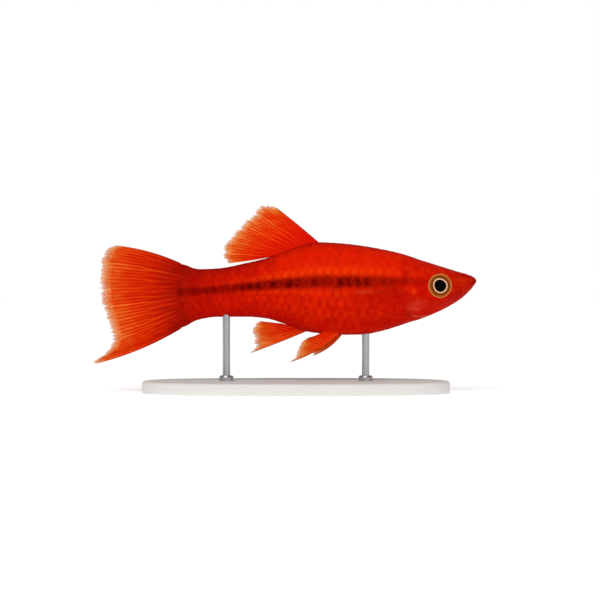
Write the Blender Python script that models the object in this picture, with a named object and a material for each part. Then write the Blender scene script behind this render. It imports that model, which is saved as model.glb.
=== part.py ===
"""A swordtail fish as a still, life-size model on a plain display stand.

The fish swims along +X with its back up. Its middle plane is y = 0, its right side faces -Y, and the stand
rests on z = 0. Sizes are in millimetres, and heights on the fish are measured from its body's axis.
"""

import math
from bisect import bisect_right
from dataclasses import dataclass

import bmesh
import bpy
from mathutils import Matrix, Vector

MM = 0.001
SMOOTH_UNDER = math.radians(40)  # sharper edges are shaded as edges
GAP = 0.3  # kept between two pieces that meet

# The body's length, and where it is divided
AXIS_HEIGHT = 22.5
SNOUT_X = 40.0
NECK_X = 23.0
VENT_X = -4.6
TAIL_ROOT_X = -21.25

# The body's outline from the tail root to the snout: the place along it, then the height above the axis
BACK = (
    (-21.25, 4.5), (-17.5, 3.45), (-13.75, 3.6), (-7.5, 4.75), (-3.9, 5.6), (0.6, 7.3), (4.0, 8.5),
    (7.1, 9.0), (12.0, 8.75), (16.25, 8.25), (23.75, 6.8), (31.25, 4.3), (36.25, 2.75), (38.5, 2.1),
    (39.5, 1.6), (40.0, 1.0),
)
BELLY = (
    (-21.25, -9.1), (-17.5, -7.35), (-13.75, -6.8), (-7.5, -6.75), (-3.9, -7.05), (0.6, -8.4), (4.0, -9.65),
    (7.1, -10.15), (12.0, -10.5), (16.25, -10.45), (20.0, -9.8), (23.75, -8.7), (31.25, -5.95),
    (36.25, -3.2), (38.6, -1.35), (39.6, 0.05), (40.0, 0.9),
)
HALF_WIDTH = (
    (-21.25, 0.9), (-17.5, 1.35), (-10.0, 2.1), (0.0, 3.35), (10.0, 4.45), (18.0, 4.85), (24.0, 4.65),
    (29.0, 4.15), (33.0, 3.65), (36.25, 2.95), (38.6, 2.05), (39.6, 1.25), (40.0, 0.3),
)
WIDEST = ((-21.25, -2.25), (-13.0, -1.5), (0.0, -0.7), (15.0, -0.5), (30.0, -0.4), (37.0, 0.2), (40.0, 0.95))
# How square the section is above and below its widest line, where 2 is an ellipse
BACK_SQUARENESS = ((-21.25, 2.0), (10.0, 2.0), (24.0, 2.25), (33.0, 2.6), (40.0, 2.2))
BELLY_SQUARENESS = ((-21.25, 2.0), (12.0, 2.15), (30.0, 2.0), (40.0, 2.1))

# The eye: its middle, the eyeball's half width and half depth, and how far its middle lies under the skin
EYE_X = 32.45
EYE_HEIGHT = -0.2
EYE_RADIUS = 2.72
EYE_DEPTH = 1.35
EYE_SUNK = 0.72

# The mouth's line from the front of the lips to its corner, how wide it gapes there, and the lips beside it
MOUTH_FRONT = Vector((40.0, 0.95))
MOUTH_CORNER = Vector((38.1, 0.1))
GAPE_FRONT = 0.3
GAPE_CORNER = 0.12
LIP_HEIGHT = 0.26
LIP_WIDTH = 0.32
LIP_OFF_LINE = 0.42

# Two nostrils a side, on the upper slope of the snout: place along the head, degrees from the top, radius
NOSTRILS = ((37.2, 34.0, 0.26), (35.7, 33.0, 0.32))

# The gill cover: degrees round from the back, with the place of its middle line and with its half width
GILL_MIDDLE = ((58.0, 27.2), (80.0, 26.3), (98.0, 26.1), (120.0, 27.0), (140.0, 28.3), (166.0, 30.4))
GILL_HALF = ((58.0, 2.0), (98.0, 1.95), (140.0, 1.7), (166.0, 1.4))
GILL_END = 0.12  # its two round ends stop at this share of the half width
GILL_THICK = 0.55
GILL_RAISED = 0.18
RECESS_REACH = 1.5  # how far the gill cover's recess is cut past the skin
DEGREES_PER_MM = 13.0  # round the head, beside the gill cover's ends

# A fin's thickness: fleshy near the root, then a membrane that thins towards its edge
MEMBRANE = 0.5
FIN_EDGE = 0.36
FLESHY_SHARE = 0.3
THIN_FROM = 0.7
# The rays raised on both its faces
RAY_RAISED = 0.13
RAY_STARTS = 0.1
FORK_SPAN = 0.2  # share of a ray's length over which its two branches part
VALLEY_IN_FORK = 0.3
RIPPLE_TURNS = 1.0  # soft waves across a fin, from its first ray to its last

# How many rings and corners the body's pieces have
HEAD_RINGS, HEAD_AROUND, SNOUT_BUNCH = 26, 40, 1.5
TRUNK_RINGS, TRUNK_AROUND = 15, 36
TAIL_RINGS, TAIL_AROUND = 9, 32
SNOUT_FLAT = 0.03  # the snout's last ring is this far from its tip

# The stand
BASE_LENGTH = 64.0
BASE_WIDTH = 27.0
BASE_THICK = 2.5
BASE_X = 2.5
BASE_BEVEL = 0.6
BASE_SQUARENESS = 2.5
ROD_RADIUS = 0.8
ROD_FRONT_X = 17.0
ROD_REAR_X = -12.0

RED = (205, 26, 5)
DEEP_RED = (175, 17, 3)
FIN_ORANGE = (230, 85, 25)
PUPIL_BLACK = (12, 8, 10)
OFF_WHITE = (225, 224, 220)
STEEL = (180, 182, 185)


def curve_through(points):
    """A smooth curve through (place, value) points that never swings past them."""
    places = [place for place, _ in points]
    values = [value for _, value in points]
    rises = [
        (values[i + 1] - values[i]) / (places[i + 1] - places[i]) for i in range(len(points) - 1)
    ]
    slopes = [rises[0]]
    for before, after in zip(rises, rises[1:]):
        slopes.append(0.0 if before * after <= 0 else 2 * before * after / (before + after))
    slopes.append(rises[-1])

    def at(place):
        place = min(max(place, places[0]), places[-1])
        i = min(bisect_right(places, place), len(places) - 1) - 1
        width = places[i + 1] - places[i]
        t = (place - places[i]) / width
        start = values[i] * (1 + 2 * t) * (1 - t) ** 2 + slopes[i] * width * t * (1 - t) ** 2
        end = values[i + 1] * t * t * (3 - 2 * t) - slopes[i + 1] * width * t * t * (1 - t)
        return start + end

    return at


back = curve_through(BACK)
belly = curve_through(BELLY)
half_width = curve_through(HALF_WIDTH)
widest = curve_through(WIDEST)
back_squareness = curve_through(BACK_SQUARENESS)
belly_squareness = curve_through(BELLY_SQUARENESS)
gill_middle = curve_through(GILL_MIDDLE)
gill_half = curve_through(GILL_HALF)


def skin(x, degrees):
    """A point of the body's surface: 0 degrees is the back, 90 the left flank, 180 the belly."""
    rise = math.cos(math.radians(degrees))
    side = math.sin(math.radians(degrees))
    middle = widest(x)
    if rise >= 0:
        reach = back(x) - middle
        power = 2 / back_squareness(x)
    else:
        reach = middle - belly(x)
        power = 2 / belly_squareness(x)
    y = math.copysign(half_width(x) * abs(side) ** power, side)
    z = middle + math.copysign(reach * abs(rise) ** power, rise)
    return Vector((x, y, z))


def skin_normal(x, degrees):
    """The direction straight out of the body's surface."""
    near = 0.05
    along = skin(x + near, degrees) - skin(x - near, degrees)
    around = skin(x, degrees + 1) - skin(x, degrees - 1)
    return along.cross(around).normalized()


def off_skin(x, degrees, out):
    """A point at a distance straight out from the body's surface."""
    return skin(x, degrees) + skin_normal(x, degrees) * out


def flank_half(x, z):
    """How far the body's side is from its middle plane at a height."""
    middle = widest(x)
    if z >= middle:
        share = (z - middle) / (back(x) - middle)
        power = back_squareness(x)
    else:
        share = (middle - z) / (middle - belly(x))
        power = belly_squareness(x)
    return half_width(x) * max(1 - min(share, 1) ** power, 0) ** (1 / power)


def underside(x, y):
    """The height of the belly at a distance from the middle plane."""
    middle = widest(x)
    power = belly_squareness(x)
    share = min(abs(y) / half_width(x), 1)
    return middle - (middle - belly(x)) * (1 - share**power) ** (1 / power)


def material(name, colour, roughness, metallic=0.0):
    """A material with a colour given as sRGB values from 0 to 255."""
    made = bpy.data.materials.new(name)
    made.use_nodes = True
    shader = made.node_tree.nodes["Principled BSDF"]
    linear = [((c / 255 + 0.055) / 1.055) ** 2.4 if c > 10 else c / 255 / 12.92 for c in colour]
    shader.inputs["Base Color"].default_value = (*linear, 1)
    shader.inputs["Roughness"].default_value = roughness
    shader.inputs["Metallic"].default_value = metallic
    return made


def add_object(name, bm, finish, parent=None):
    """Writes a bmesh, which is in millimetres, as a named object in metres."""
    bm.normal_update()
    bmesh.ops.recalc_face_normals(bm, faces=bm.faces)
    bm.transform(Matrix.Scale(MM, 4))
    mesh = bpy.data.meshes.new(name)
    bm.to_mesh(mesh)
    bm.free()
    mesh.shade_smooth()
    mesh.set_sharp_from_angle(angle=SMOOTH_UNDER)
    made = bpy.data.objects.new(name, mesh)
    bpy.context.scene.collection.objects.link(made)
    if finish is not None:
        mesh.materials.append(finish)
    if parent is not None:
        made.parent = parent
    return made


def sleeve(xs, around, place):
    """A tube of rings, one at each x, closed at both ends by a flat face."""
    bm = bmesh.new()
    bmesh.ops.create_grid(bm, x_segments=len(xs) - 1, y_segments=around, size=0.5)
    for vert in bm.verts:
        ring = round((vert.co.x + 0.5) * (len(xs) - 1))
        turn = round((vert.co.y + 0.5) * around) % around
        vert.co = place(xs[ring], 360 * turn / around)
    bmesh.ops.remove_doubles(bm, verts=bm.verts, dist=1e-5)
    rims = [edge for edge in bm.edges if edge.is_boundary]
    bmesh.ops.holes_fill(bm, edges=rims, sides=0)
    return bm


def slab(columns, rows, place):
    """A thin plate of two like triangulated faces: place(u, v, side) puts the corners, side is -1 or 1."""
    bm = bmesh.new()
    bmesh.ops.create_grid(bm, x_segments=columns, y_segments=rows, size=0.5)
    bmesh.ops.triangulate(bm, faces=bm.faces)
    far = bmesh.ops.extrude_face_region(bm, geom=bm.faces[:])["geom"]
    for item in far:
        if isinstance(item, bmesh.types.BMVert):
            item.co.z = 1
    for vert in bm.verts:
        side = 1 if vert.co.z > 0.5 else -1
        vert.co = place(vert.co.x + 0.5, vert.co.y + 0.5, side)
    return bm


def spread(start, end, count, bunch=1.0):
    """Places from start to end, closer together towards the end where bunch is over 1."""
    return [end - (end - start) * (1 - i / count) ** bunch for i in range(count + 1)]


def carve(target, cutters):
    """Cuts closed shapes out of an object, then removes them, and keeps its largest closed surface."""
    group = bpy.data.collections.new("cutters")
    bpy.context.scene.collection.children.link(group)
    for cutter in cutters:
        cutter.hide_render = True
        cutter.display_type = "WIRE"
        bpy.context.scene.collection.objects.unlink(cutter)
        group.objects.link(cutter)
    cut = target.modifiers.new("cut", "BOOLEAN")
    cut.operation = "DIFFERENCE"
    cut.operand_type = "COLLECTION"
    cut.collection = group
    cut.solver = "EXACT"
    bpy.context.view_layer.update()
    seen = target.evaluated_get(bpy.context.evaluated_depsgraph_get())
    mesh = bpy.data.meshes.new_from_object(seen)
    target.modifiers.clear()
    target.data = mesh
    for cutter in cutters:
        bpy.data.objects.remove(cutter)
    bpy.data.collections.remove(group)
    keep_largest(mesh)


def keep_largest(mesh):
    """Leaves only the largest closed surface of a mesh."""
    bm = bmesh.new()
    bm.from_mesh(mesh)
    unseen = set(bm.faces)
    shells = []
    while unseen:
        waiting = [unseen.pop()]
        shell = list(waiting)
        while waiting:
            face = waiting.pop()
            beside = {other for edge in face.edges for other in edge.link_faces} & unseen
            unseen -= beside
            shell.extend(beside)
            waiting.extend(beside)
        shells.append(shell)
    largest = max(shells, key=lambda shell: sum(face.calc_area() for face in shell))
    for shell in shells:
        if shell is not largest:
            bmesh.ops.delete(bm, geom=shell, context="FACES")
    bm.to_mesh(mesh)
    bm.free()
    mesh.set_sharp_from_angle(angle=SMOOTH_UNDER)


def lip_swell(x, z):
    """How far the lips stand out, at a place beside the mouth's line."""
    run = MOUTH_FRONT - MOUTH_CORNER
    place = Vector((x, z)) - MOUTH_CORNER
    across = abs(run.normalized().cross(place))
    along = place.dot(run) / run.dot(run)
    fade = min(max(along + 0.5, 0), 1)
    return LIP_HEIGHT * fade * math.exp(-(((across - LIP_OFF_LINE) / LIP_WIDTH) ** 2))


def lipped_skin(x, degrees):
    """The surface of the head, with the lips raised round the mouth."""
    point = skin(x, degrees)
    return point + skin_normal(x, degrees) * lip_swell(x, point.z)


def eye_frame(side):
    """The eye's middle in its socket and its turn, so that its +Z looks straight out of the head."""
    degrees = 90 * side
    out = skin_normal(EYE_X, degrees)
    middle = skin(EYE_X, degrees) - out * EYE_SUNK
    middle.z = EYE_HEIGHT
    return Matrix.Translation(middle) @ out.to_track_quat("Z", "Y").to_matrix().to_4x4()


def eye_ball(side, grown):
    """The eyeball, or its socket where it is grown."""
    bm = bmesh.new()
    bmesh.ops.create_uvsphere(bm, u_segments=28, v_segments=12, radius=1)
    bm.transform(Matrix.Diagonal((EYE_RADIUS + grown, EYE_RADIUS + grown, EYE_DEPTH + grown, 1)))
    bm.transform(eye_frame(side))
    return bm


def gill_plate(side, thick, raised, margin):
    """A plate that lies in the side of the head, or its recess where it has a margin."""
    top, bottom = GILL_MIDDLE[0][0], GILL_MIDDLE[-1][0]
    reach = (bottom - top) / 2 + margin * DEGREES_PER_MM

    def place(u, v, face):
        degrees = (top + bottom) / 2 - reach * math.cos(math.pi * u)
        half = (gill_half(degrees) + margin) * max(math.sin(math.pi * u), GILL_END)
        x = gill_middle(degrees) + half * (1 - 2 * v)
        out = raised * v if face > 0 else -thick
        return off_skin(x, degrees * side, out)

    return slab(18, 5, place)


def mouth_cutter():
    """A thin wedge that opens the mouth's line from lip to lip."""
    run = MOUTH_FRONT - MOUTH_CORNER
    bm = bmesh.new()
    bmesh.ops.create_cube(bm, size=1)
    for vert in bm.verts:
        at_front = vert.co.x > 0
        vert.co.x = 1.5 * run.length if at_front else 0
        vert.co.y *= 4 * half_width(MOUTH_CORNER.x)
        vert.co.z *= GAPE_FRONT if at_front else GAPE_CORNER
    bm.transform(Matrix.Rotation(-math.atan2(run.y, run.x), 4, "Y"))
    bm.transform(Matrix.Translation((MOUTH_CORNER.x, 0, MOUTH_CORNER.y)))
    return bm


def nostril_cutter(x, degrees, radius):
    """A small round pit in the snout."""
    bm = bmesh.new()
    bmesh.ops.create_icosphere(bm, subdivisions=2, radius=radius)
    bm.transform(Matrix.Translation(skin(x, degrees)))
    return bm


@dataclass(frozen=True)
class Fin:
    """A fin's rays: each runs from the base to the edge, which are curves from the first ray to the last.

    The bows say how far up the first and the last ray arch, forks_at is the share of its length where a ray
    forks, and notch is how far the membrane between two rays stays short of their tips.
    """

    base: tuple
    edge: tuple
    rays: int
    rows: int
    root_thick: float = 0.9
    first_bow: float = 0.0
    last_bow: float = 0.0
    forks_at: float = 0.4
    notch: float = 0.5
    ripple: float = 0.0

    @property
    def columns(self):
        """Strips across the fin: four to a ray that forks, two to one that doesn't."""
        return self.rays * (4 if self.forks_at < 1 else 2)

    def along(self, points, share):
        """A point of the base or the edge, at a share of its length."""
        lengths = [0.0]
        for before, after in zip(points, points[1:]):
            lengths.append(lengths[-1] + math.dist(before, after))
        across = curve_through([(length, point[0]) for length, point in zip(lengths, points)])
        up = curve_through([(length, point[1]) for length, point in zip(lengths, points)])
        return Vector((across(share * lengths[-1]), 0, up(share * lengths[-1])))

    def off_ray(self, u):
        """How far u is from the middle of its ray: 0 on it, 0.5 half way to the next."""
        return abs((u * self.rays) % 1 - 0.5)

    def short(self, u, length):
        """The share of a ray's length by which the fin's edge stays short of the ray's tip."""
        if min(u, 1 - u) * self.columns < 0.5:
            return 0.0
        off = self.off_ray(u)
        if self.forks_at < 1:
            depth = math.cos(2 * math.pi * off) ** 2 * (1 if off > 0.25 else 0.5)
        else:
            depth = math.sin(math.pi * off) ** 2
        return self.notch * depth / length

    def raised(self, u, v):
        """How far a ray stands out of the membrane, as a share of the most that it does."""
        off = self.off_ray(u)
        whole = math.cos(math.pi * off) ** 2
        forked = max(math.sin(2 * math.pi * off) ** 2, VALLEY_IN_FORK * whole)
        parted = min(max((v - self.forks_at) / FORK_SPAN, 0), 1)
        return (whole + (forked - whole) * parted) * min(v / RAY_STARTS, 1) * (1 - v / 2)

    def point(self, u, v):
        """A point of the fin's middle surface, seen from the side."""
        root = self.along(self.base, u)
        run = self.along(self.edge, u) - root
        up = Vector((run.z, 0, -run.x)).normalized()
        bow = self.first_bow + (self.last_bow - self.first_bow) * u
        share = v * (1 - self.short(u, run.length))
        point = root + run * share + up * bow * 4 * share * (1 - share)
        point.y = self.ripple * v * math.sin(2 * math.pi * RIPPLE_TURNS * u)
        return point

    def half_thick(self, u, v, root):
        """Half the fin's thickness, from its fleshy root to its thin edge, with the rays."""
        fleshy = max(1 - v / FLESHY_SHARE, 0) ** 2
        thin = MEMBRANE + (FIN_EDGE - MEMBRANE) * max(v - THIN_FROM, 0) / (1 - THIN_FROM)
        return (thin + max(root - MEMBRANE, 0) * fleshy) / 2 + RAY_RAISED * self.raised(u, v)


CAUDAL = Fin(
    base=((TAIL_ROOT_X - GAP / 2, 4.45), (TAIL_ROOT_X - GAP / 2, -9.05)),
    edge=(
        (-36.0, 8.2), (-37.6, 6.9), (-38.4, 5.4), (-38.6, -0.4), (-38.4, -3.6), (-37.5, -6.1),
        (-36.4, -9.4), (-36.0, -10.9), (-36.7, -13.1), (-37.8, -14.5), (-40.0, -16.1), (-39.4, -16.5),
    ),
    rays=18, rows=9, first_bow=0.5, last_bow=-0.6, notch=0.7, ripple=0.3,
)
CAUDAL_SWEEP = 1.0
DORSAL = Fin(
    base=((7.1, 9.0), (4.0, 8.5), (0.6, 7.3), (-3.9, 5.6)),
    edge=(
        (-1.4, 16.0), (-2.9, 16.7), (-4.7, 16.8), (-6.6, 14.9), (-8.9, 12.6), (-10.8, 10.5),
        (-12.5, 8.5), (-13.0, 6.2), (-11.7, 4.5),
    ),
    rays=13, rows=7, root_thick=1.0, first_bow=0.08, last_bow=-0.1, ripple=0.35,
)
ANAL = Fin(
    base=((4.4, -9.8), (2.0, -9.0), (-0.7, -8.0)),
    edge=(
        (-7.2, -14.3), (-6.2, -12.9), (-6.5, -11.8), (-6.8, -10.4), (-6.9, -9.4), (-6.4, -8.2), (-5.2, -7.5),
    ),
    rays=8, rows=6, first_bow=-0.1, ripple=0.2,
)
PELVIC_RIGHT = Fin(
    base=((11.3, -10.45), (7.8, -10.2)),
    edge=((0.9, -16.1), (2.2, -14.8), (2.5, -13.7), (2.8, -12.8), (3.4, -11.7), (4.3, -11.2)),
    rays=6, rows=6, first_bow=-0.75, last_bow=-0.1,
)
PELVIC_LEFT = Fin(
    base=((12.2, -10.5), (8.6, -10.3)),
    edge=((5.9, -15.0), (5.3, -13.9), (5.0, -12.9), (4.8, -12.0), (5.0, -11.0)),
    rays=6, rows=6, first_bow=-0.6, last_bow=-0.1,
)
PECTORAL = Fin(
    base=((21.6, -0.1), (21.3, -2.0)),
    edge=((14.3, 1.6), (13.9, 0.4), (14.2, -1.2), (15.2, -2.9)),
    rays=10, rows=5, root_thick=0.8, forks_at=1.0, notch=0.35,
)
PELVIC_OFF_MIDDLE = 1.15
PELVIC_SPLAY = 2.6
PECTORAL_FLARE = 2.3


def caudal_place(u, v, side):
    """The tail fin, whose root is as thick as the tail stem's end, swept a little to one side."""
    point = CAUDAL.point(u, v)
    root_thick = 2 * flank_half(TAIL_ROOT_X, CAUDAL.along(CAUDAL.base, u).z)
    point.y += CAUDAL_SWEEP * v * v + side * CAUDAL.half_thick(u, v, root_thick)
    return point


def dorsal_place(u, v, side):
    """The dorsal fin, which stands on the back."""
    point = DORSAL.point(u, v)
    point.z += GAP * (1 - v)
    point.y += side * DORSAL.half_thick(u, v, DORSAL.root_thick)
    return point


def anal_place(u, v, side):
    """The anal fin, which hangs behind the vent."""
    point = ANAL.point(u, v)
    point.z -= GAP * (1 - v)
    point.y += side * ANAL.half_thick(u, v, ANAL.root_thick)
    return point


def pelvic_place(fin, hand):
    """Places a pelvic fin, rooted beside the middle of the belly and splayed to its own side."""

    def place(u, v, side):
        off = hand * PELVIC_OFF_MIDDLE + side * fin.half_thick(u, v, fin.root_thick)
        root = fin.along(fin.base, u)
        point = fin.point(u, v)
        point.z += (underside(root.x, off) - GAP - root.z) * (1 - v)
        point.y = off + hand * PELVIC_SPLAY * (1 - 0.4 * u) * v
        return point

    return place


def pectoral_place(hand):
    """Places a pectoral fin, laid back beside the flank and flared off it."""

    def place(u, v, side):
        point = PECTORAL.point(u, v)
        half = PECTORAL.half_thick(u, v, PECTORAL.root_thick)
        point.y = hand * (flank_half(point.x, point.z) + GAP + half + PECTORAL_FLARE * v * v) + side * half
        return point

    return place


def base_plate():
    """The stand's flat base, an oval with its upper edge eased."""
    bm = bmesh.new()
    bmesh.ops.create_circle(bm, cap_ends=True, segments=56, radius=1)
    for vert in bm.verts:
        power = 2 / BASE_SQUARENESS
        vert.co.x = math.copysign(abs(vert.co.x) ** power, vert.co.x) * BASE_LENGTH / 2
        vert.co.y = math.copysign(abs(vert.co.y) ** power, vert.co.y) * BASE_WIDTH / 2
    top = bmesh.ops.extrude_face_region(bm, geom=bm.faces[:])["geom"]
    bmesh.ops.translate(
        bm, verts=[item for item in top if isinstance(item, bmesh.types.BMVert)], vec=(0, 0, BASE_THICK)
    )
    rim = [edge for edge in bm.edges if all(vert.co.z > BASE_THICK / 2 for vert in edge.verts)]
    bmesh.ops.bevel(bm, geom=rim, offset=BASE_BEVEL, segments=2, profile=0.5, affect="EDGES", material=-1)
    bm.transform(Matrix.Translation((BASE_X, 0, 0)))
    return bm


def rod(x):
    """A rod from the base up to the belly, its end sloped as the belly is."""
    bm = bmesh.new()
    bmesh.ops.create_cone(bm, cap_ends=True, segments=18, radius1=ROD_RADIUS, radius2=ROD_RADIUS, depth=1)
    for vert in bm.verts:
        top = vert.co.z > 0
        vert.co.x += x
        vert.co.z = AXIS_HEIGHT + underside(vert.co.x, vert.co.y) - GAP if top else BASE_THICK + GAP
    return bm


def build():
    """Makes every piece of the fish and its stand."""
    for item in list(bpy.data.objects):
        bpy.data.objects.remove(item)
    fish = bpy.data.objects.new("fish", None)
    fish.location.z = AXIS_HEIGHT * MM
    bpy.context.scene.collection.objects.link(fish)

    head_xs = spread(NECK_X + GAP / 2, SNOUT_X - SNOUT_FLAT, HEAD_RINGS, SNOUT_BUNCH)
    trunk_xs = spread(VENT_X + GAP / 2, NECK_X - GAP / 2, TRUNK_RINGS)
    tail_xs = spread(TAIL_ROOT_X + GAP / 2, VENT_X - GAP / 2, TAIL_RINGS)
    head_sleeve = sleeve(head_xs, HEAD_AROUND, lipped_skin)
    trunk_sleeve = sleeve(trunk_xs, TRUNK_AROUND, skin)
    tail_sleeve = sleeve(tail_xs, TAIL_AROUND, skin)
    head = add_object("head", head_sleeve, material("head skin", RED, 0.35), fish)
    add_object("trunk", trunk_sleeve, material("trunk skin", RED, 0.35), fish)
    add_object("tail_stem", tail_sleeve, material("tail stem skin", DEEP_RED, 0.35), fish)

    cutters = [add_object("mouth_cutter", mouth_cutter(), None, fish)]
    for hand, side in (("left", 1), ("right", -1)):
        add_object("eye_" + hand, eye_ball(side, 0), material("eye " + hand, PUPIL_BLACK, 0.08), fish)
        cover = gill_plate(side, GILL_THICK, GILL_RAISED, 0)
        add_object("gill_cover_" + hand, cover, material("gill cover " + hand, RED, 0.3), fish)
        cutters.append(add_object("socket_" + hand, eye_ball(side, GAP), None, fish))
        recess = gill_plate(side, GILL_THICK + GAP, RECESS_REACH, GAP)
        cutters.append(add_object("recess_" + hand, recess, None, fish))
        for x, degrees, radius in NOSTRILS:
            pit = nostril_cutter(x, degrees * side, radius)
            cutters.append(add_object("nostril_" + hand, pit, None, fish))
    carve(head, cutters)

    fins = (
        ("caudal_fin", CAUDAL, caudal_place),
        ("dorsal_fin", DORSAL, dorsal_place),
        ("anal_fin", ANAL, anal_place),
        ("pelvic_fin_left", PELVIC_LEFT, pelvic_place(PELVIC_LEFT, 1)),
        ("pelvic_fin_right", PELVIC_RIGHT, pelvic_place(PELVIC_RIGHT, -1)),
        ("pectoral_fin_left", PECTORAL, pectoral_place(1)),
        ("pectoral_fin_right", PECTORAL, pectoral_place(-1)),
    )
    for name, fin, place in fins:
        rayed = slab(fin.columns, fin.rows, place)
        add_object(name, rayed, material(name.replace("_", " "), FIN_ORANGE, 0.4), fish)

    add_object("stand_base", base_plate(), material("stand base", OFF_WHITE, 0.5))
    for name, x in (("stand_rod_front", ROD_FRONT_X), ("stand_rod_rear", ROD_REAR_X)):
        add_object(name, rod(x), material(name.replace("_", " "), STEEL, 0.25, 1.0))


build()
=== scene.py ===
"""The looks of a life-size swordtail model: seamless scaled skin, rayed fins, ringed eyes and a stand.

Sizes are in millimetres. Heights on the fish are measured from its body's axis until a piece is written.
"""

import logging
import math
from dataclasses import dataclass, field
from enum import Enum
from functools import cached_property

import bmesh
import bpy
import numpy as np
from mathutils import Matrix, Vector

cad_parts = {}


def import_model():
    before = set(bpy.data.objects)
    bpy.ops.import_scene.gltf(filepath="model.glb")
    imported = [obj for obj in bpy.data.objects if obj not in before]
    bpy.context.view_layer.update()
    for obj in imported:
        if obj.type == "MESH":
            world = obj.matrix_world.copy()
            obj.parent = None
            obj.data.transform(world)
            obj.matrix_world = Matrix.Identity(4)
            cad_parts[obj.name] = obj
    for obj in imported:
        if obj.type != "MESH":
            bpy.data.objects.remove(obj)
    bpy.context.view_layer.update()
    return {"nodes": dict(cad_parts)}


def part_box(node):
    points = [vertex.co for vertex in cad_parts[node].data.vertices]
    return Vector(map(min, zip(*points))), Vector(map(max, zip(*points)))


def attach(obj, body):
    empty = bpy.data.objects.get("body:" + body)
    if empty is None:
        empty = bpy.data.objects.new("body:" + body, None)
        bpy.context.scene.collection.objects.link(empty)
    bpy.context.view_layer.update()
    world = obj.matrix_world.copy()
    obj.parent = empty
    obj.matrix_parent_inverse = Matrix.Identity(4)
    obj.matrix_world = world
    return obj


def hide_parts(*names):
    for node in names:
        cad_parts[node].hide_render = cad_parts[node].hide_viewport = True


LOG = logging.getLogger("swordtail")
MM = 0.001
TINY = 1e-12
NEARLY_ONE = 1 - 1e-6
Span = tuple[float, float, float, float]
Array = np.ndarray
Shape = bmesh.types.BMesh
Socket = bpy.types.NodeSocket
Material = bpy.types.Material


class Side(Enum):
    """The fish's two sides, by the sign of y."""

    LEFT = 1
    RIGHT = -1


class Slot(Enum):
    """The material slots."""

    SKIN = "skin"
    FIN = "fin"
    CLEAR_FIN = "clear_fin"
    EYE = "eye"
    STAND_BASE = "stand_base"
    STAND_ROD = "stand_rod"


def smooth(value: Array, start: float, end: float) -> Array:
    """An even step from 0 at start to 1 at end.

    Args:
        value: Where the step is read.
        start: The value at which it leaves 0.
        end: The value at which it reaches 1.

    Returns:
        The step's height at each value.
    """
    share = np.clip((np.asarray(value, float) - start) / (end - start), 0, 1)
    return share * share * (3 - 2 * share)


def bump(value: Array, middle: float, half: float) -> Array:
    """A bell round middle that has fallen to a third at half."""
    return np.exp(-(((np.asarray(value, float) - middle) / half) ** 2))


def plateau(value: Array, span: Span) -> Array:
    """1 between the two middle values of a span, easing to 0 at its first and its last."""
    start, full, still_full, end = span
    return smooth(value, start, full) * smooth(value, end, still_full)


def from_back(degrees: Array) -> Array:
    """Degrees from the middle of the back, on either side."""
    return np.abs((np.asarray(degrees, float) + 180) % 360 - 180)


@dataclass(frozen=True)
class Curve:
    """A smooth curve through (place, value) points that never swings past them."""

    points: tuple[tuple[float, float], ...]

    def __call__(self, place: Array) -> Array:
        """Reads the curve.

        Args:
            place: Places along it, read as its nearest end where they lie past it.

        Returns:
            Its value at each place.
        """
        knots = np.array(self.points, float)
        x, y = knots[:, 0], knots[:, 1]
        rise = np.diff(y) / np.diff(x)
        turn = rise[:-1] * rise[1:]
        inner = np.where(turn > 0, 2 * turn / np.where(turn > 0, rise[:-1] + rise[1:], 1), 0)
        slope = np.concatenate([rise[:1], inner, rise[-1:]])
        at = np.clip(np.asarray(place, float), x[0], x[-1])
        i = np.clip(np.searchsorted(x, at, side="right") - 1, 0, len(x) - 2)
        width = x[i + 1] - x[i]
        t = (at - x[i]) / width
        start = y[i] * (1 + 2 * t) * (1 - t) ** 2 + slope[i] * width * t * (1 - t) ** 2
        end = y[i + 1] * t * t * (3 - 2 * t) - slope[i + 1] * width * t * t * (1 - t)
        return start + end


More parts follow.
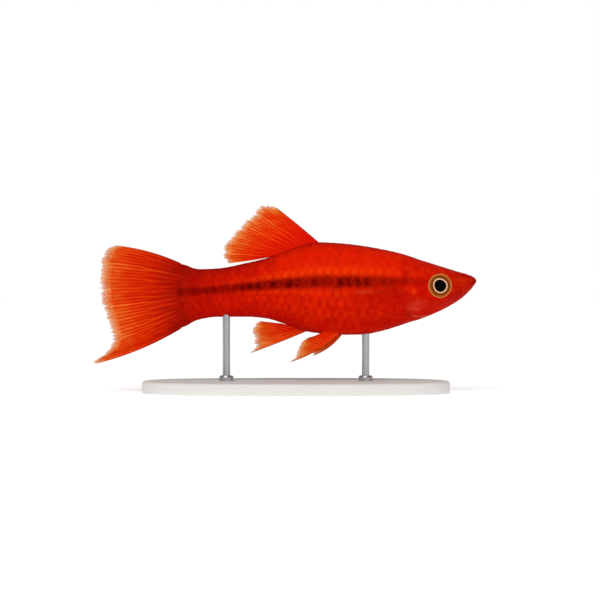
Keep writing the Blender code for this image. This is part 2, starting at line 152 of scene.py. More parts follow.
@dataclass(frozen=True)
class Body:
    """The body's surface: a place along x, and degrees round from the back, positive on the left."""

    tail_x: float = -22.9
    snout_x: float = 40.1
    back: Curve = Curve(
        (
            (-22.9, 4.5), (-21.25, 4.32), (-17.5, 3.38), (-13.75, 3.55), (-7.5, 4.75), (-3.9, 5.6),
            (0.6, 7.3), (4.0, 8.5), (7.1, 9.0), (12.0, 8.75), (16.25, 8.25), (23.75, 6.8), (31.25, 4.3),
            (36.25, 2.75), (38.5, 2.1), (39.5, 1.6), (40.15, 0.95),
        )
    )
    belly: Curve = Curve(
        (
            (-22.9, -9.1), (-21.25, -8.85), (-17.5, -7.28), (-13.75, -6.75), (-7.5, -6.75), (-3.9, -7.05),
            (0.6, -8.4), (4.0, -9.65), (7.1, -10.15), (12.0, -10.5), (16.25, -10.45), (20.0, -9.8),
            (23.75, -8.7), (31.25, -6.0), (36.25, -3.32), (38.6, -1.3), (39.7, 0.1), (40.15, 0.85),
        )
    )
    half_width: Curve = Curve(
        (
            (-22.9, 0.1), (-22.2, 0.42), (-21.25, 0.78), (-17.5, 1.35), (-10.0, 2.1), (0.0, 3.35),
            (10.0, 4.45), (18.0, 4.85), (24.0, 4.65), (29.0, 4.15), (33.0, 3.65), (36.25, 2.95),
            (38.6, 2.05), (39.6, 1.3), (40.15, 0.3),
        )
    )
    widest: Curve = Curve(
        (
            (-22.9, -2.3), (-21.25, -2.25), (-13.0, -1.5), (0.0, -0.7), (15.0, -0.5), (30.0, -0.4),
            (37.0, 0.2), (40.0, 0.95),
        )
    )
    back_squareness: Curve = Curve(((-21.25, 2.0), (10.0, 2.0), (24.0, 2.25), (33.0, 2.6), (40.0, 2.2)))
    belly_squareness: Curve = Curve(((-21.25, 2.0), (12.0, 2.15), (30.0, 2.0), (40.0, 2.1)))
    tail_arc: float = 1.6
    tail_arc_from: float = -18.0
    stripe_degrees: float = 83.0
    rows_above: int = 5
    rows_below: int = 6
    table_places: int = 240

    def point(self, x: Array, degrees: Array) -> Array:
        """Points of the surface.

        Args:
            x: Places along the body.
            degrees: Turns round from the back.

        Returns:
            The points, as an array whose last axis holds x, y and z.
        """
        rise = np.cos(np.radians(degrees))
        side = np.sin(np.radians(degrees))
        up = rise >= 0
        power = 2 / np.where(up, self.back_squareness(x), self.belly_squareness(x))
        share = np.abs(rise) ** power
        at = x + self.tail_arc * share**2 * smooth(x, self.tail_arc_from, self.tail_x)
        middle = self.widest(at)
        reach = np.where(up, self.back(at) - middle, middle - self.belly(at))
        y = np.sign(side) * self.half_width(x) * np.abs(side) ** power
        return np.stack([at, y, middle + np.where(up, 1, -1) * reach * share], axis=-1)

    def normal(self, x: Array, degrees: Array) -> Array:
        """Directions straight out of the surface."""
        near = 0.05
        along = self.point(x + near, degrees) - self.point(x - near, degrees)
        around = self.point(x, degrees + 1) - self.point(x, degrees - 1)
        out = np.cross(along, around)
        return out / np.maximum(np.linalg.norm(out, axis=-1, keepdims=True), TINY)

    def off(self, x: Array, degrees: Array, out: Array) -> Array:
        """Points at distances straight out from the surface."""
        return self.point(x, degrees) + self.normal(x, degrees) * np.asarray(out)[..., None]

    def flank_half(self, x: Array, z: Array) -> Array:
        """How far the body's side is from its middle plane.

        Args:
            x: Places along the body.
            z: The height of each.

        Returns:
            The half widths there.
        """
        middle = self.widest(x)
        up = z >= middle
        reach = np.where(up, self.back(x) - middle, middle - self.belly(x))
        power = np.where(up, self.back_squareness(x), self.belly_squareness(x))
        share = np.minimum(np.abs(z - middle) / reach, 1)
        return self.half_width(x) * (1 - share**power) ** (1 / power)

    def underside(self, x: Array, y: Array) -> Array:
        """The height of the belly's surface.

        Args:
            x: Places along the body.
            y: The distance of each from the middle plane.

        Returns:
            The heights there.
        """
        middle = self.widest(x)
        power = self.belly_squareness(x)
        share = np.minimum(np.abs(y) / self.half_width(x), 1)
        return middle - (middle - self.belly(x)) * (1 - share**power) ** (1 / power)

    @property
    def rows(self) -> int:
        """Scale rows from the middle of the back to the middle of the belly."""
        return self.rows_above + self.rows_below

    @cached_property
    def row_tables(self) -> tuple[Array, Array, Array]:
        """How scale rows lie round the body.

        Returns:
            Places along the body, the row at each of them and each whole degree, and the degrees at each of
            them and each tenth of a row.
        """
        places = np.linspace(self.tail_x + 0.1, self.snout_x - 0.1, self.table_places)
        turns = np.arange(181.0)
        x, degrees = np.meshgrid(places, turns, indexing="ij")
        steps = np.linalg.norm(np.diff(self.point(x, degrees), axis=1), axis=2)
        run = np.concatenate([np.zeros((len(places), 1)), np.cumsum(steps, axis=1)], axis=1)
        stripe = run[:, round(self.stripe_degrees)][:, None]
        above = self.rows_above * run / stripe
        below = self.rows_above + self.rows_below * (run - stripe) / (run[:, -1:] - stripe)
        row_of = np.where(run <= stripe, above, below)
        tenths = np.arange(self.rows * 10 + 1) / 10
        degrees_of = np.stack([np.interp(tenths, line, turns) for line in row_of])
        return places, row_of, degrees_of

    def _read(self, table: Array, x: Array, place: Array) -> Array:
        """Values of a row table, also between its places.

        Args:
            table: The table, with a line for each place along the body.
            x: Places along the body.
            place: The place of each in the table's line.

        Returns:
            The values there.
        """
        places = self.row_tables[0]
        past_last = 1.001
        i = np.clip((x - places[0]) / (places[1] - places[0]), 0, len(places) - past_last)
        j = np.clip(place, 0, table.shape[1] - past_last)
        i0, j0 = i.astype(int), j.astype(int)
        i, j = i - i0, j - j0
        near = table[i0, j0] * (1 - j) + table[i0, j0 + 1] * j
        far = table[i0 + 1, j0] * (1 - j) + table[i0 + 1, j0 + 1] * j
        return near * (1 - i) + far * i

    def row_at(self, x: Array, degrees: Array) -> Array:
        """The scale row at each place, from 0 on the back to the last on the belly, on either side."""
        return self._read(self.row_tables[1], x, from_back(degrees))

    def degrees_at(self, x: Array, row: Array) -> Array:
        """The degrees of scale rows, also of those just past the belly.

        Args:
            x: Places along the body.
            row: The row of each, negative on the right side.

        Returns:
            The degrees there.
        """
        past = np.abs(row) > self.rows
        folded = np.where(past, 2 * self.rows - np.abs(row), np.abs(row))
        turn = self._read(self.row_tables[2], x, folded * 10)
        return np.sign(row) * np.where(past, 360 - turn, turn)


@dataclass(frozen=True)
class GillCover:
    """The edge of the gill cover, round from degrees near the back to degrees at the throat."""

    top: float = 58.0
    bottom: float = 166.0
    shown: Span = (55.0, 68.0, 160.0, 170.0)
    middle: Curve = Curve(
        (
            (58.0, 27.2), (80.0, 26.3), (98.0, 26.1), (120.0, 26.4), (135.0, 27.1), (148.0, 28.2),
            (166.0, 30.6),
        )
    )
    half: Curve = Curve(((58.0, 2.0), (98.0, 1.95), (140.0, 1.7), (166.0, 1.4)))
    mm_per_degree: float = 0.11

    def edge(self, degrees: Array, front: bool) -> Array:
        """The place of one of the cover's two edges.

        Args:
            degrees: Turns round from the back.
            front: Whether it's the front edge, and not the free rear one.

        Returns:
            The place along the body at each turn.
        """
        mid, reach = (self.top + self.bottom) / 2, (self.bottom - self.top) / 2
        share = np.clip((degrees - mid) / reach, -1, 1)
        half = self.half(degrees) * np.sqrt(1 - share**2)
        return self.middle(degrees) + (half if front else -half)

    def inside(self, x: Array, degrees: Array, front: bool = False) -> Array:
        """How far each place is in front of one of the cover's edges, square to that edge.

        Args:
            x: Places along the body.
            degrees: The turn of each round from the back.
            front: Whether it's the front edge, and not the free rear one.

        Returns:
            The distances, negative behind the edge.
        """
        slope = (self.edge(degrees + 1, front) - self.edge(degrees - 1, front)) / (2 * self.mm_per_degree)
        return (x - self.edge(degrees, front)) / np.sqrt(1 + slope**2)

    def ends(self, degrees: Array) -> Array:
        """1 along the cover, fading to 0 past its two ends."""
        return plateau(degrees, self.shown)


@dataclass(frozen=True)
class Masks:
    """Where each marking, painted shade and painted highlight shows, from 0 to 1, at each point of a piece.
    """

    stripe: Array
    orange_and_highlight: Array
    deep: Array
    dusk_and_shade: Array
    pale: Array
    fleck: Array

    def named(self) -> dict[str, Array]:
        """The masks by their attribute's name."""
        return {name: np.clip(values, 0, 1) for name, values in vars(self).items()}


@dataclass(frozen=True)
class Band:
    """A row of orange beside the dark stripe, brightest on painted highlight streaks in the middle of its
    scales.

    Attributes:
        off: How many scale rows it lies below the stripe, or if negative above it.
        half: Half its height, in rows.
        strength: How bright it is.
        along: How bright it is at each place along the body.
        shift: How far that is moved towards the head.
        even: How bright the band stays between its streaks.
    """

    off: float
    half: float
    strength: float
    along: Curve
    shift: float = 0.0
    even: float = 0.0

    def orange_and_highlight(self, x: Array, off: Array, streak: Array) -> Array:
        """How brightly the band shows at places, at rows off the stripe and at shares of a streak."""
        across = self.strength * bump(off, self.off, self.half)
        return across * self.along(x - self.shift) * (self.even + (1 - self.even) * streak)


@dataclass(frozen=True)
class Spot:
    """A soft patch of colour on the head, at a place along it and at degrees from the back."""

    strength: float
    x: float
    half_x: float
    turn: float
    half_turn: float

    def __call__(self, x: Array, turn: Array) -> Array:
        """How strongly the patch shows at each point."""
        return self.strength * bump(x, self.x, self.half_x) * bump(turn, self.turn, self.half_turn)


LIGHT_ABOVE = Curve(((-16.0, 0.05), (-6.0, 0.4), (2.0, 0.95), (16.0, 0.8), (24.0, 0.25), (30.0, 0.0)))
LIGHT_BELOW = Curve(((-16.0, 0.0), (-8.0, 0.3), (-1.0, 0.8), (10.0, 0.8), (18.0, 0.3), (26.0, 0.0)))


@dataclass(frozen=True)
class Markings:
    """The markings that the skin and the scales share, with the painted shade and painted highlights among
    them.
    """

    body: Body
    gill: GillCover
    stripe_half: Curve = Curve(
        ((-23.0, 0.8), (-14.0, 0.85), (-6.0, 0.78), (0.0, 0.7), (14.0, 0.64), (22.0, 0.6), (30.0, 0.4))
    )
    stripe_along: Curve = Curve(
        (
            (-23.0, 0.5), (-18.0, 0.62), (-8.0, 0.8), (0.0, 0.92), (17.0, 0.8), (21.0, 0.7), (24.0, 0.5),
            (27.5, 0.3), (31.0, 0.0),
        )
    )
    bands: tuple[Band, ...] = (
        Band(-1.1, 0.5, 1.0, LIGHT_ABOVE, 0.0, 0.25),
        Band(1.05, 0.42, 0.5, LIGHT_BELOW, 0.0, 0.1),
        Band(2.1, 0.42, 0.34, LIGHT_BELOW, 2.0),
        Band(3.2, 0.5, 0.3, LIGHT_BELOW, 4.0),
    )
    light_belly: Span = (2.0, 12.0, 20.0, 27.0)
    tail_dusk: Curve = Curve(((-22.9, 0.6), (-20.0, 0.42), (-16.0, 0.2), (-9.0, 0.08), (0.0, 0.0)))
    # how strong the painted shade along the back's edge is at each place
    back_edge_shade: Curve = Curve(((-22.0, 0.55), (0.0, 0.65), (16.0, 0.8), (22.0, 0.88), (38.0, 0.9)))
    edge_width: float = 1.3
    flecked: Curve = Curve(((-23.0, 0.05), (10.0, 0.08), (24.0, 0.14), (34.0, 0.24), (38.0, 0.36)))

    def masks(self, x: Array, row: Array, streak: Array, patch: Array, shade: Array) -> Masks:
        """Reads the markings.

        Args:
            x: Places along the body.
            row: The scale row of each.
            streak: 1 on the narrow upright streak in the middle of each scale, where it catches the light.
            patch: 1 over the coloured middle of each scale and 0 at its rim.
            shade: How much darker, or if negative lighter, each scale is than the others.

        Returns:
            The masks.
        """
        off = row - self.body.rows_above
        stripe = np.exp(-((np.abs(off) / self.stripe_half(x)) ** 3)) * self.stripe_along(x)
        stripe *= (0.62 + 0.42 * patch) * (1 + 0.16 * shade)
        # orange bands, brightest on painted highlight streaks in the middle of the scales
        orange_and_highlight = sum(band.orange_and_highlight(x, off, streak) for band in self.bands)
        deep = self._deep(x, row, 0.2 * (0.5 - patch) + 0.14 * shade)
        dusk_and_shade = self._dusk(x, row, patch)
        return Masks(stripe, orange_and_highlight, deep, dusk_and_shade, np.zeros_like(dusk_and_shade), self.flecked(x) + 0 * row)

    def _deep(self, x: Array, row: Array, scales: Array) -> Array:
        """How deep the red is, with painted shade from light above deepening it below the stripe and
        towards the belly.

        Args:
            x: Places along the body.
            row: The scale row of each.
            scales: How much deeper, or if negative lighter, the scales make it.

        Returns:
            The depths, where 0 or less is the plain red and 1 or more the deepest.
        """
        off, from_belly = row - self.body.rows_above, row - self.body.rows
        # painted shade: darker below the stripe and towards the belly, as under light from above
        flank = 0.1 + 0.65 * smooth(off, -0.1, 1.9) + 0.3 * smooth(from_belly, -3.5, 0)
        head = smooth(x, 19.0, 30.0) * (0.6 + 0.4 * smooth(off, -3, 1))
        tail = 0.8 * smooth(x, 5.0, -8.0)
        breast = 1.15 * smooth(x, 10.0, 16.0) * smooth(off, 0.3, 1.3)
        belly = 0.6 * plateau(x, self.light_belly) * smooth(from_belly, -2.6, -0.8)
        deep = np.maximum(np.maximum(flank, head), tail) + scales
        return np.maximum(deep, breast) - belly

    def _dusk(self, x: Array, row: Array, patch: Array) -> Array:
        """How dusky the tail root, the snout and the shoulder are, with painted shade along the edges of
        the back and the keel.

        Args:
            x: Places along the body.
            row: The scale row of each.
            patch: 1 over the coloured middle of each scale and 0 at its rim.

        Returns:
            The shares, from 0 to 1.
        """
        off, from_belly = row - self.body.rows_above, row - self.body.rows
        tail = self.tail_dusk(x) * (0.7 + 0.3 * (1 - patch))
        snout = 0.2 * smooth(x, 31.0, 36.0)
        shoulder = 0.2 * bump(x, 22.4, 2.2) * bump(off, 1.0, 1.1)
        # painted shade along the back's edge, where the body turns away from the light
        across = self.body.point(x, self.body.degrees_at(x, row))[..., 1]
        back = self.back_edge_shade(x) * bump(across, 0, self.edge_width) * (off < 0)
        # painted shade along the keel, under the belly
        keel = 0.4 * smooth(from_belly, -0.9, 0)
        return np.maximum(np.maximum(tail + snout + shoulder, back), keel)


def linear(red: float, green: float, blue: float) -> tuple[float, float, float, float]:
    """A colour given as sRGB values from 0 to 255, as Blender's linear colour."""
    shares = [value / 255 for value in (red, green, blue)]
    return (*[s / 12.92 if s <= 0.04045 else ((s + 0.055) / 1.055) ** 2.4 for s in shares], 1.0)


class NodeTree:
    """Builds one material's nodes around its Principled shader."""

    def __init__(self, name: str) -> None:
        """Starts a material of that name."""
        self.material = bpy.data.materials.new(name)
        self.material.use_nodes = True
        self.tree = self.material.node_tree
        self.shader = self.tree.nodes["Principled BSDF"]

    def _link(self, value: object, socket: Socket) -> None:
        """Puts a socket, a number or a colour on a socket."""
        if isinstance(value, Socket):
            self.tree.links.new(value, socket)
        else:
            socket.default_value = value

    def set(self, **values: object) -> None:
        """Sets the shader's sockets, whose names are given with _ for each space."""
        for name, value in values.items():
            self._link(value, self.shader.inputs[name.replace("_", " ")])

    def attribute(self, name: str) -> Socket:
        """A number that the piece's points carry."""
        node = self.tree.nodes.new("ShaderNodeAttribute")
        node.attribute_name = name
        return node.outputs["Fac"]

    def place(self, stretch: tuple[float, float, float] = (1.0, 1.0, 1.0)) -> Socket:
        """The place on the model, stretched along its axes."""
        where = self.tree.nodes.new("ShaderNodeTexCoord")
        mapping = self.tree.nodes.new("ShaderNodeMapping")
        mapping.inputs["Scale"].default_value = stretch
        self.tree.links.new(where.outputs["Object"], mapping.inputs["Vector"])
        return mapping.outputs["Vector"]

    def noise(self, size: float, place: Socket | None = None, detail: float = 3.0) -> Socket:
        """Soft noise.

        Args:
            size: About how many millimetres its patches are across.
            place: Where it is read, if not at the plain place on the model.
            detail: How many finer layers it has.

        Returns:
            The noise, from 0 to 1.
        """
        node = self.tree.nodes.new("ShaderNodeTexNoise")
        node.inputs["Scale"].default_value = 1 / (size * MM)
        node.inputs["Detail"].default_value = detail
        self.tree.links.new(place or self.place(), node.inputs["Vector"])
        return node.outputs["Fac"]

    def span(
        self, value: object, low: float, high: float, to_low: float = 0.0, to_high: float = 1.0
    ) -> Socket:
        """A value from low to high as one from to_low to to_high, clamped."""
        node = self.tree.nodes.new("ShaderNodeMapRange")
        for socket, part in zip(node.inputs, (value, low, high, to_low, to_high)):
            self._link(part, socket)
        return node.outputs["Result"]

    def math(self, operation: str, first: object, second: object = 0.0) -> Socket:
        """One operation on one or two numbers."""
        node = self.tree.nodes.new("ShaderNodeMath")
        node.operation = operation
        self._link(first, node.inputs[0])
        self._link(second, node.inputs[1])
        return node.outputs[0]

    def times(self, first: object, second: object) -> Socket:
        """Two numbers multiplied."""
        return self.math("MULTIPLY", first, second)

    def mix(self, share: object, first: object, second: object) -> Socket:
        """The first colour turned into the second one by a share."""
        node = self.tree.nodes.new("ShaderNodeMix")
        node.data_type = "RGBA"
        self._link(share, node.inputs[0])
        self._link(first, node.inputs[6])
        self._link(second, node.inputs[7])
        return node.outputs[2]

    def ramp(self, share: object, stops: tuple[tuple[float, tuple], ...]) -> Socket:
        """Colours by a share.

        Args:
            share: The number that picks the colour.
            stops: The colour at each of a few shares.

        Returns:
            The colour.
        """
        node = self.tree.nodes.new("ShaderNodeValToRGB")
        bar = node.color_ramp
        for _ in range(len(stops) - len(bar.elements)):
            bar.elements.new(0.5)
        for element, (at, colour) in zip(bar.elements, stops):
            element.position = at
            element.color = colour
        self._link(share, node.inputs["Fac"])
        return node.outputs["Color"]

    def bump(self, height: object, depth: float) -> Socket:
        """A normal for a relief of that depth in millimetres."""
        node = self.tree.nodes.new("ShaderNodeBump")
        node.inputs["Distance"].default_value = depth * MM
        self._link(height, node.inputs["Height"])
        return node.outputs["Normal"]


@dataclass(frozen=True)
class SkinFinish:
    """Satin red skin with a dark stripe, orange bands with painted highlight streaks, dusky tones and
    painted shade at edges and creases, on the body and on its scales.
    """

    name: str = "swordtail skin"
    red: tuple = linear(224, 28, 1)
    # deeper red, also the colour of the painted shade towards the belly
    deep_red: tuple = linear(192, 12, 2)
    orange: tuple = linear(240, 60, 6)
    stripe: tuple = linear(80, 0, 0)
    # dusky colour, also painted on as shade at the edges, in the gill slit and along the mouth
    dusk_and_shade: tuple = linear(66, 6, 3)
    pale: tuple = linear(238, 122, 90)
    fleck: tuple = linear(244, 74, 12)
    roughness: tuple[float, float] = (0.48, 0.62)
    shine: float = 0.045
    shine_tint: tuple = linear(255, 120, 70)
    grain: float = 0.01
    grain_size: float = 0.16
    fine_size: float = 0.35
    fleck_size: float = 0.8
    blotch_size: float = 0.9
    cloud_size: float = 1.6
    cloud_stretch: tuple[float, float, float] = (1.0, 1.0, 0.7)
    cloud_detail: float = 5.0
    cloud_share: float = 0.42
    pale_even: float = 0.35

    def material(self) -> Material:
        """The finish as a material."""
        nodes = NodeTree(self.name)
        clouds = nodes.noise(self.cloud_size, nodes.place(self.cloud_stretch), self.cloud_detail)
        fine = nodes.noise(self.fine_size)
        clouds = nodes.span(clouds, 0.3, 0.7, -self.cloud_share, self.cloud_share)
        # the red deepened, partly as painted shade towards the belly, with random clouds
        deep = nodes.math("ADD", nodes.attribute("deep"), clouds)
        colour = nodes.mix(nodes.span(deep, 0.0, 1.0), self.red, self.deep_red)
        flecks = nodes.times(nodes.attribute("fleck"), nodes.span(nodes.noise(self.fleck_size), 0.48, 0.7))
        colour = nodes.mix(flecks, colour, self.fleck)
        # dusky tones and painted shade
        colour = nodes.mix(nodes.attribute("dusk_and_shade"), colour, self.dusk_and_shade)
        # orange bands, brightest on their painted highlight streaks
        colour = nodes.mix(nodes.attribute("orange_and_highlight"), colour, self.orange)
        blotches = nodes.span(nodes.noise(self.blotch_size), 0.3, 0.5, 0.75, 1.0)
        colour = nodes.mix(nodes.times(nodes.attribute("stripe"), blotches), colour, self.stripe)
        speckled = nodes.times(nodes.attribute("pale"), nodes.span(fine, 0.35, 0.6))
        even = nodes.math("SUBTRACT", nodes.attribute("pale"), self.pale_even)
        nodes.set(
            Base_Color=nodes.mix(nodes.math("MAXIMUM", even, speckled), colour, self.pale),
            Roughness=nodes.span(fine, 0.3, 0.7, *self.roughness),
            Specular_IOR_Level=self.shine,
            Specular_Tint=self.shine_tint,
            Normal=nodes.bump(nodes.noise(self.grain_size), self.grain),
        )
        return nodes.material


@dataclass(frozen=True)
class FinFinish:
    """A thin rayed membrane, red at the root and orange, then pale and nearly clear, at the edge."""

    name: str
    root: tuple = linear(150, 10, 2)
    inner: tuple = linear(188, 20, 3)
    middle: tuple = linear(208, 32, 3)
    outer: tuple = linear(222, 62, 6)
    margin: tuple = linear(230, 92, 22)
    gap: tuple = linear(200, 36, 3)
    ray: tuple = linear(255, 98, 18)
    ray_out: tuple = linear(255, 158, 64)
    hair: tuple = linear(252, 182, 118)
    hair_dark: tuple = linear(196, 106, 58)
    brim: tuple = linear(92, 30, 16)
    gap_share: float = 0.5
    ray_share: float = 0.9
    membrane: float = 1.0
    membrane_out: float = 0.12
    ray_solid: float = 1.0
    even: float = 0.8
    segment: float = 0.42
    segment_depth: float = 0.015
    roughness: float = 0.5
    shine: float = 0.05
    shine_tint: tuple = linear(255, 130, 60)
    stops: tuple[float, ...] = (0.0, 0.3, 0.6, 0.84, 0.95)
    streak_size: float = 0.9
    streak_stretch: tuple[float, float, float] = (0.3, 1.0, 1.0)
    streak_share: float = 0.13
    hair_size: float = 0.3

    def material(self) -> Material:
        """The finish as a material."""
        nodes = NodeTree(self.name)
        ray, lit, edge = (nodes.attribute(name) for name in ("ray", "lit", "out"))
        streaks = nodes.noise(self.streak_size, nodes.place(self.streak_stretch))
        streaks = nodes.span(streaks, 0.3, 0.7, -self.streak_share, self.streak_share)
        out = nodes.math("ADD", edge, streaks)
        colours = (self.root, self.inner, self.middle, self.outer, self.margin)
        colour = nodes.ramp(out, tuple(zip(self.stops, colours)))
        off_ray = nodes.math("SUBTRACT", 1.0, ray)
        beside = nodes.times(off_ray, nodes.span(out, 0.4, 0.85, 0.0, self.gap_share))
        colour = nodes.mix(beside, colour, self.gap)
        shown = nodes.times(nodes.times(lit, self.ray_share), nodes.span(edge, 0.05, 0.5, 0.12, 1.0))
        colour = nodes.mix(shown, colour, nodes.mix(nodes.span(out, 0.6, 0.92), self.ray, self.ray_out))
        hair = nodes.mix(nodes.span(nodes.noise(self.hair_size), 0.44, 0.62), self.hair, self.hair_dark)
        colour = nodes.mix(nodes.span(edge, 0.87, 0.97, 0.0, 0.8), colour, hair)
        colour = nodes.mix(nodes.attribute("brim"), colour, self.brim)
        between = nodes.span(edge, 0.92, 1.0, self.membrane, self.membrane_out)
        seen = nodes.math("MAXIMUM", nodes.times(ray, self.even), lit)
        solid = nodes.times(nodes.math("SUBTRACT", self.ray_solid, between), seen)
        bands = nodes.math("SINE", nodes.times(nodes.attribute("reach"), math.tau / self.segment))
        nodes.set(
            Base_Color=colour,
            Roughness=self.roughness,
            Specular_IOR_Level=self.shine,
            Specular_Tint=self.shine_tint,
            Alpha=nodes.math("ADD", between, solid),
            Normal=nodes.bump(nodes.times(bands, ray), self.segment_depth),
        )
        return nodes.material


@dataclass(frozen=True)
class EyeFinish:
    """A wet eye: black pupil, cream ring, brown and gold iris, orange rim."""

    name: str = "swordtail eye"
    pupil: tuple = linear(2, 2, 3)
    cream: tuple = linear(238, 182, 138)
    dark: tuple = linear(92, 34, 2)
    gold: tuple = linear(160, 80, 18)
    rim: tuple = linear(224, 132, 70)
    outside: tuple = linear(170, 20, 6)
    roughness: float = 0.2
    fleck_size: float = 0.22
    fleck_share: float = 0.008
    fleck_depth: float = 0.006

    def material(self) -> Material:
        """The finish as a material."""
        nodes = NodeTree(self.name)
        stops = (
            (0.0, self.pupil), (0.49, self.pupil), (0.52, self.cream), (0.6, self.cream),
            (0.635, self.dark), (0.7, self.dark), (0.82, self.gold), (0.89, self.gold),
            (0.91, self.dark), (0.93, self.rim), (0.975, self.rim), (1.0, self.outside),
        )
        fleck = nodes.noise(self.fleck_size)
        flecks = nodes.span(fleck, 0.3, 0.7, -self.fleck_share, self.fleck_share)
        nodes.set(
            Base_Color=nodes.ramp(nodes.math("ADD", nodes.attribute("ring"), flecks), stops),
            Roughness=self.roughness,
            Specular_IOR_Level=0.01,
            Coat_Weight=0.04,
            Coat_Roughness=0.03,
            Normal=nodes.bump(fleck, self.fleck_depth),
        )
        return nodes.material


@dataclass(frozen=True)
class StandFinish:
    """A plain made surface with a fine grain."""

    name: str
    light: tuple
    dark: tuple
    roughness: tuple[float, float]
    grain: float
    stretch: tuple[float, float, float] = (1.0, 1.0, 1.0)
    metallic: float = 0.0
    relief: float = 0.01

    def material(self) -> Material:
        """The finish as a material."""
        nodes = NodeTree(self.name)
        grain = nodes.noise(self.grain, nodes.place(self.stretch), 4.0)
        nodes.set(
            Base_Color=nodes.mix(grain, self.light, self.dark),
            Roughness=nodes.span(grain, 0.3, 0.7, *self.roughness),
            Metallic=self.metallic,
            Normal=nodes.bump(grain, self.relief),
        )
        return nodes.material


def add_object(name: str, data: bpy.types.ID) -> bpy.types.Object:
    """Puts a mesh, a light or a camera in the scene."""
    made = bpy.data.objects.new(name, data)
    bpy.context.scene.collection.objects.link(made)
    return made


@dataclass
class Workshop:
    """Turns finished shapes into pieces that ride on the frame."""

    axis_height: float
    made: list[str] = field(default_factory=list)

    def to_model(self, points: Array) -> Array:
        """Points in the model's metres from millimetres round the body's axis."""
        return (points + np.array([0.0, 0.0, self.axis_height])) * MM

    def piece(
        self,
        name: str,
        bm: Shape,
        material: Material,
        replaces: tuple[str, ...] = (),
        sharp_over: float = 50.0,
    ) -> None:
        """Writes a shape as a piece of the model.

        Args:
            name: The piece's name.
            bm: The shape, in the model's metres. It is freed.
            material: Its finish.
            replaces: The solids that the piece stands for.
            sharp_over: The angle in degrees past which an edge is shaded sharp.
        """
        bmesh.ops.recalc_face_normals(bm, faces=bm.faces[:])
        mesh = bpy.data.meshes.new(name)
        bm.to_mesh(mesh)
        bm.free()
        mesh.shade_smooth()
        mesh.set_sharp_from_angle(angle=math.radians(sharp_over))
        mesh.materials.append(material)
        made = add_object(name, mesh)
        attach(made, "root")
        if replaces:
            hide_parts(*replaces)
        self.made.append(name)
        LOG.info("%s: %d faces", name, len(mesh.polygons))


def corners(bm: Shape) -> Array:
    """The places of a shape's points, as an array."""
    return np.array([vert.co[:] for vert in bm.verts])


def put(bm: Shape, places: Array, **numbers: Array) -> None:
    """Moves a shape's points and gives them numbers.

    Args:
        bm: The shape.
        places: The new place of each point.
        numbers: For each attribute's name, its value at each point.
    """
    for name in numbers:
        bm.verts.layers.float.new(name)
    layers = [(bm.verts.layers.float[name], values.tolist()) for name, values in numbers.items()]
    for i, (vert, place) in enumerate(zip(bm.verts, places.tolist())):
        vert.co = place
        for layer, values in layers:
            vert[layer] = values[i]


def thicken(bm: Shape, height: float) -> None:
    """Makes a flat sheet a closed plate of that height."""
    made = bmesh.ops.extrude_face_region(bm, geom=bm.faces[:])["geom"]
    upper = [part for part in made if isinstance(part, bmesh.types.BMVert)]
    bmesh.ops.translate(bm, verts=upper, vec=(0, 0, height))


def turned(profile: tuple[tuple[float, float], ...], steps: int) -> Shape:
    """Turns a profile round the upright axis.

    Args:
        profile: The radius and height of each of its points, in millimetres.
        steps: How many steps a full turn has.

    Returns:
        The shape.
    """
    bm = bmesh.new()
    line = [bm.verts.new((radius, 0.0, height)) for radius, height in profile]
    edges = [bm.edges.new(pair) for pair in zip(line, line[1:])]
    bmesh.ops.spin(
        bm, geom=line + edges, cent=(0, 0, 0), axis=(0, 0, 1), dvec=(0, 0, 0), angle=math.tau, steps=steps,
        use_merge=True,
    )
    bmesh.ops.remove_doubles(bm, verts=bm.verts[:], dist=1e-4)
    return bm


@dataclass(frozen=True)
class Eye:
    """An eyeball set in the side of the head, turned from its profile."""

    body: Body
    x: float = 32.2
    height: float = -0.2
    rim: float = 2.52
    profile: tuple[tuple[float, float], ...] = (
        (0.0, 0.46), (0.3, 0.45), (0.6, 0.42), (0.85, 0.37), (1.0, 0.32), (1.1, 0.27), (1.16, 0.22),
        (1.2, 0.2), (1.25, 0.215), (1.32, 0.235), (1.4, 0.24), (1.48, 0.23), (1.54, 0.205), (1.58, 0.18),
        (1.7, 0.165), (1.85, 0.145), (2.0, 0.12), (2.12, 0.1), (2.2, 0.08), (2.26, 0.075), (2.32, 0.09),
        (2.4, 0.095), (2.46, 0.07), (2.52, 0.0), (2.54, -0.12), (2.5, -0.35), (2.1, -0.8), (1.3, -1.1),
        (0.0, -1.2),
    )
    steps: int = 96
    egg: float = 0.035
    egg_turn: float = 2.3
    egg_third: float = 0.6
    egg_span: Span = (0.2, 1.1, 1.5, 2.2)

    def frame(self, side: Side) -> tuple[Array, Array]:
        """Where an eye sits.

        Args:
            side: The side of the head.

        Returns:
            The middle of its rim on the skin, and its forward, upward and outward directions.
        """
        degrees = np.array(90.0 * side.value)
        out = self.body.normal(np.array(self.x), degrees)
        middle = self.body.point(np.array(self.x), degrees)
        middle[2] = self.height
        up = np.array([0.0, 0.0, 1.0])
        up -= out * out.dot(up)
        up /= np.linalg.norm(up)
        forward = np.cross(up, out) * side.value
        return middle, np.array([-forward if forward[0] < 0 else forward, up, out])

    def build(self, side: Side, shop: Workshop, material: Material) -> None:
        """Turns the eyeball and sets it in its socket.

        Args:
            side: The side of the head.
            shop: Where pieces are written.
            material: The eye's finish.
        """
        bm = turned(self.profile, self.steps)
        local = corners(bm)
        radius = np.hypot(local[:, 0], local[:, 1])
        turn = np.arctan2(local[:, 1], local[:, 0]) - self.egg_turn
        waves = np.cos(2 * turn) + self.egg_third * np.cos(3 * turn)
        egg = self.egg * plateau(radius, self.egg_span) * waves
        local[:, :2] *= 1 + egg[:, None]
        middle, axes = self.frame(side)
        name = side.name.lower()
        put(bm, shop.to_model(middle + local @ axes), ring=radius / self.rim)
        shop.piece(f"eye_{name}_ball", bm, material, (f"eye_{name}",))


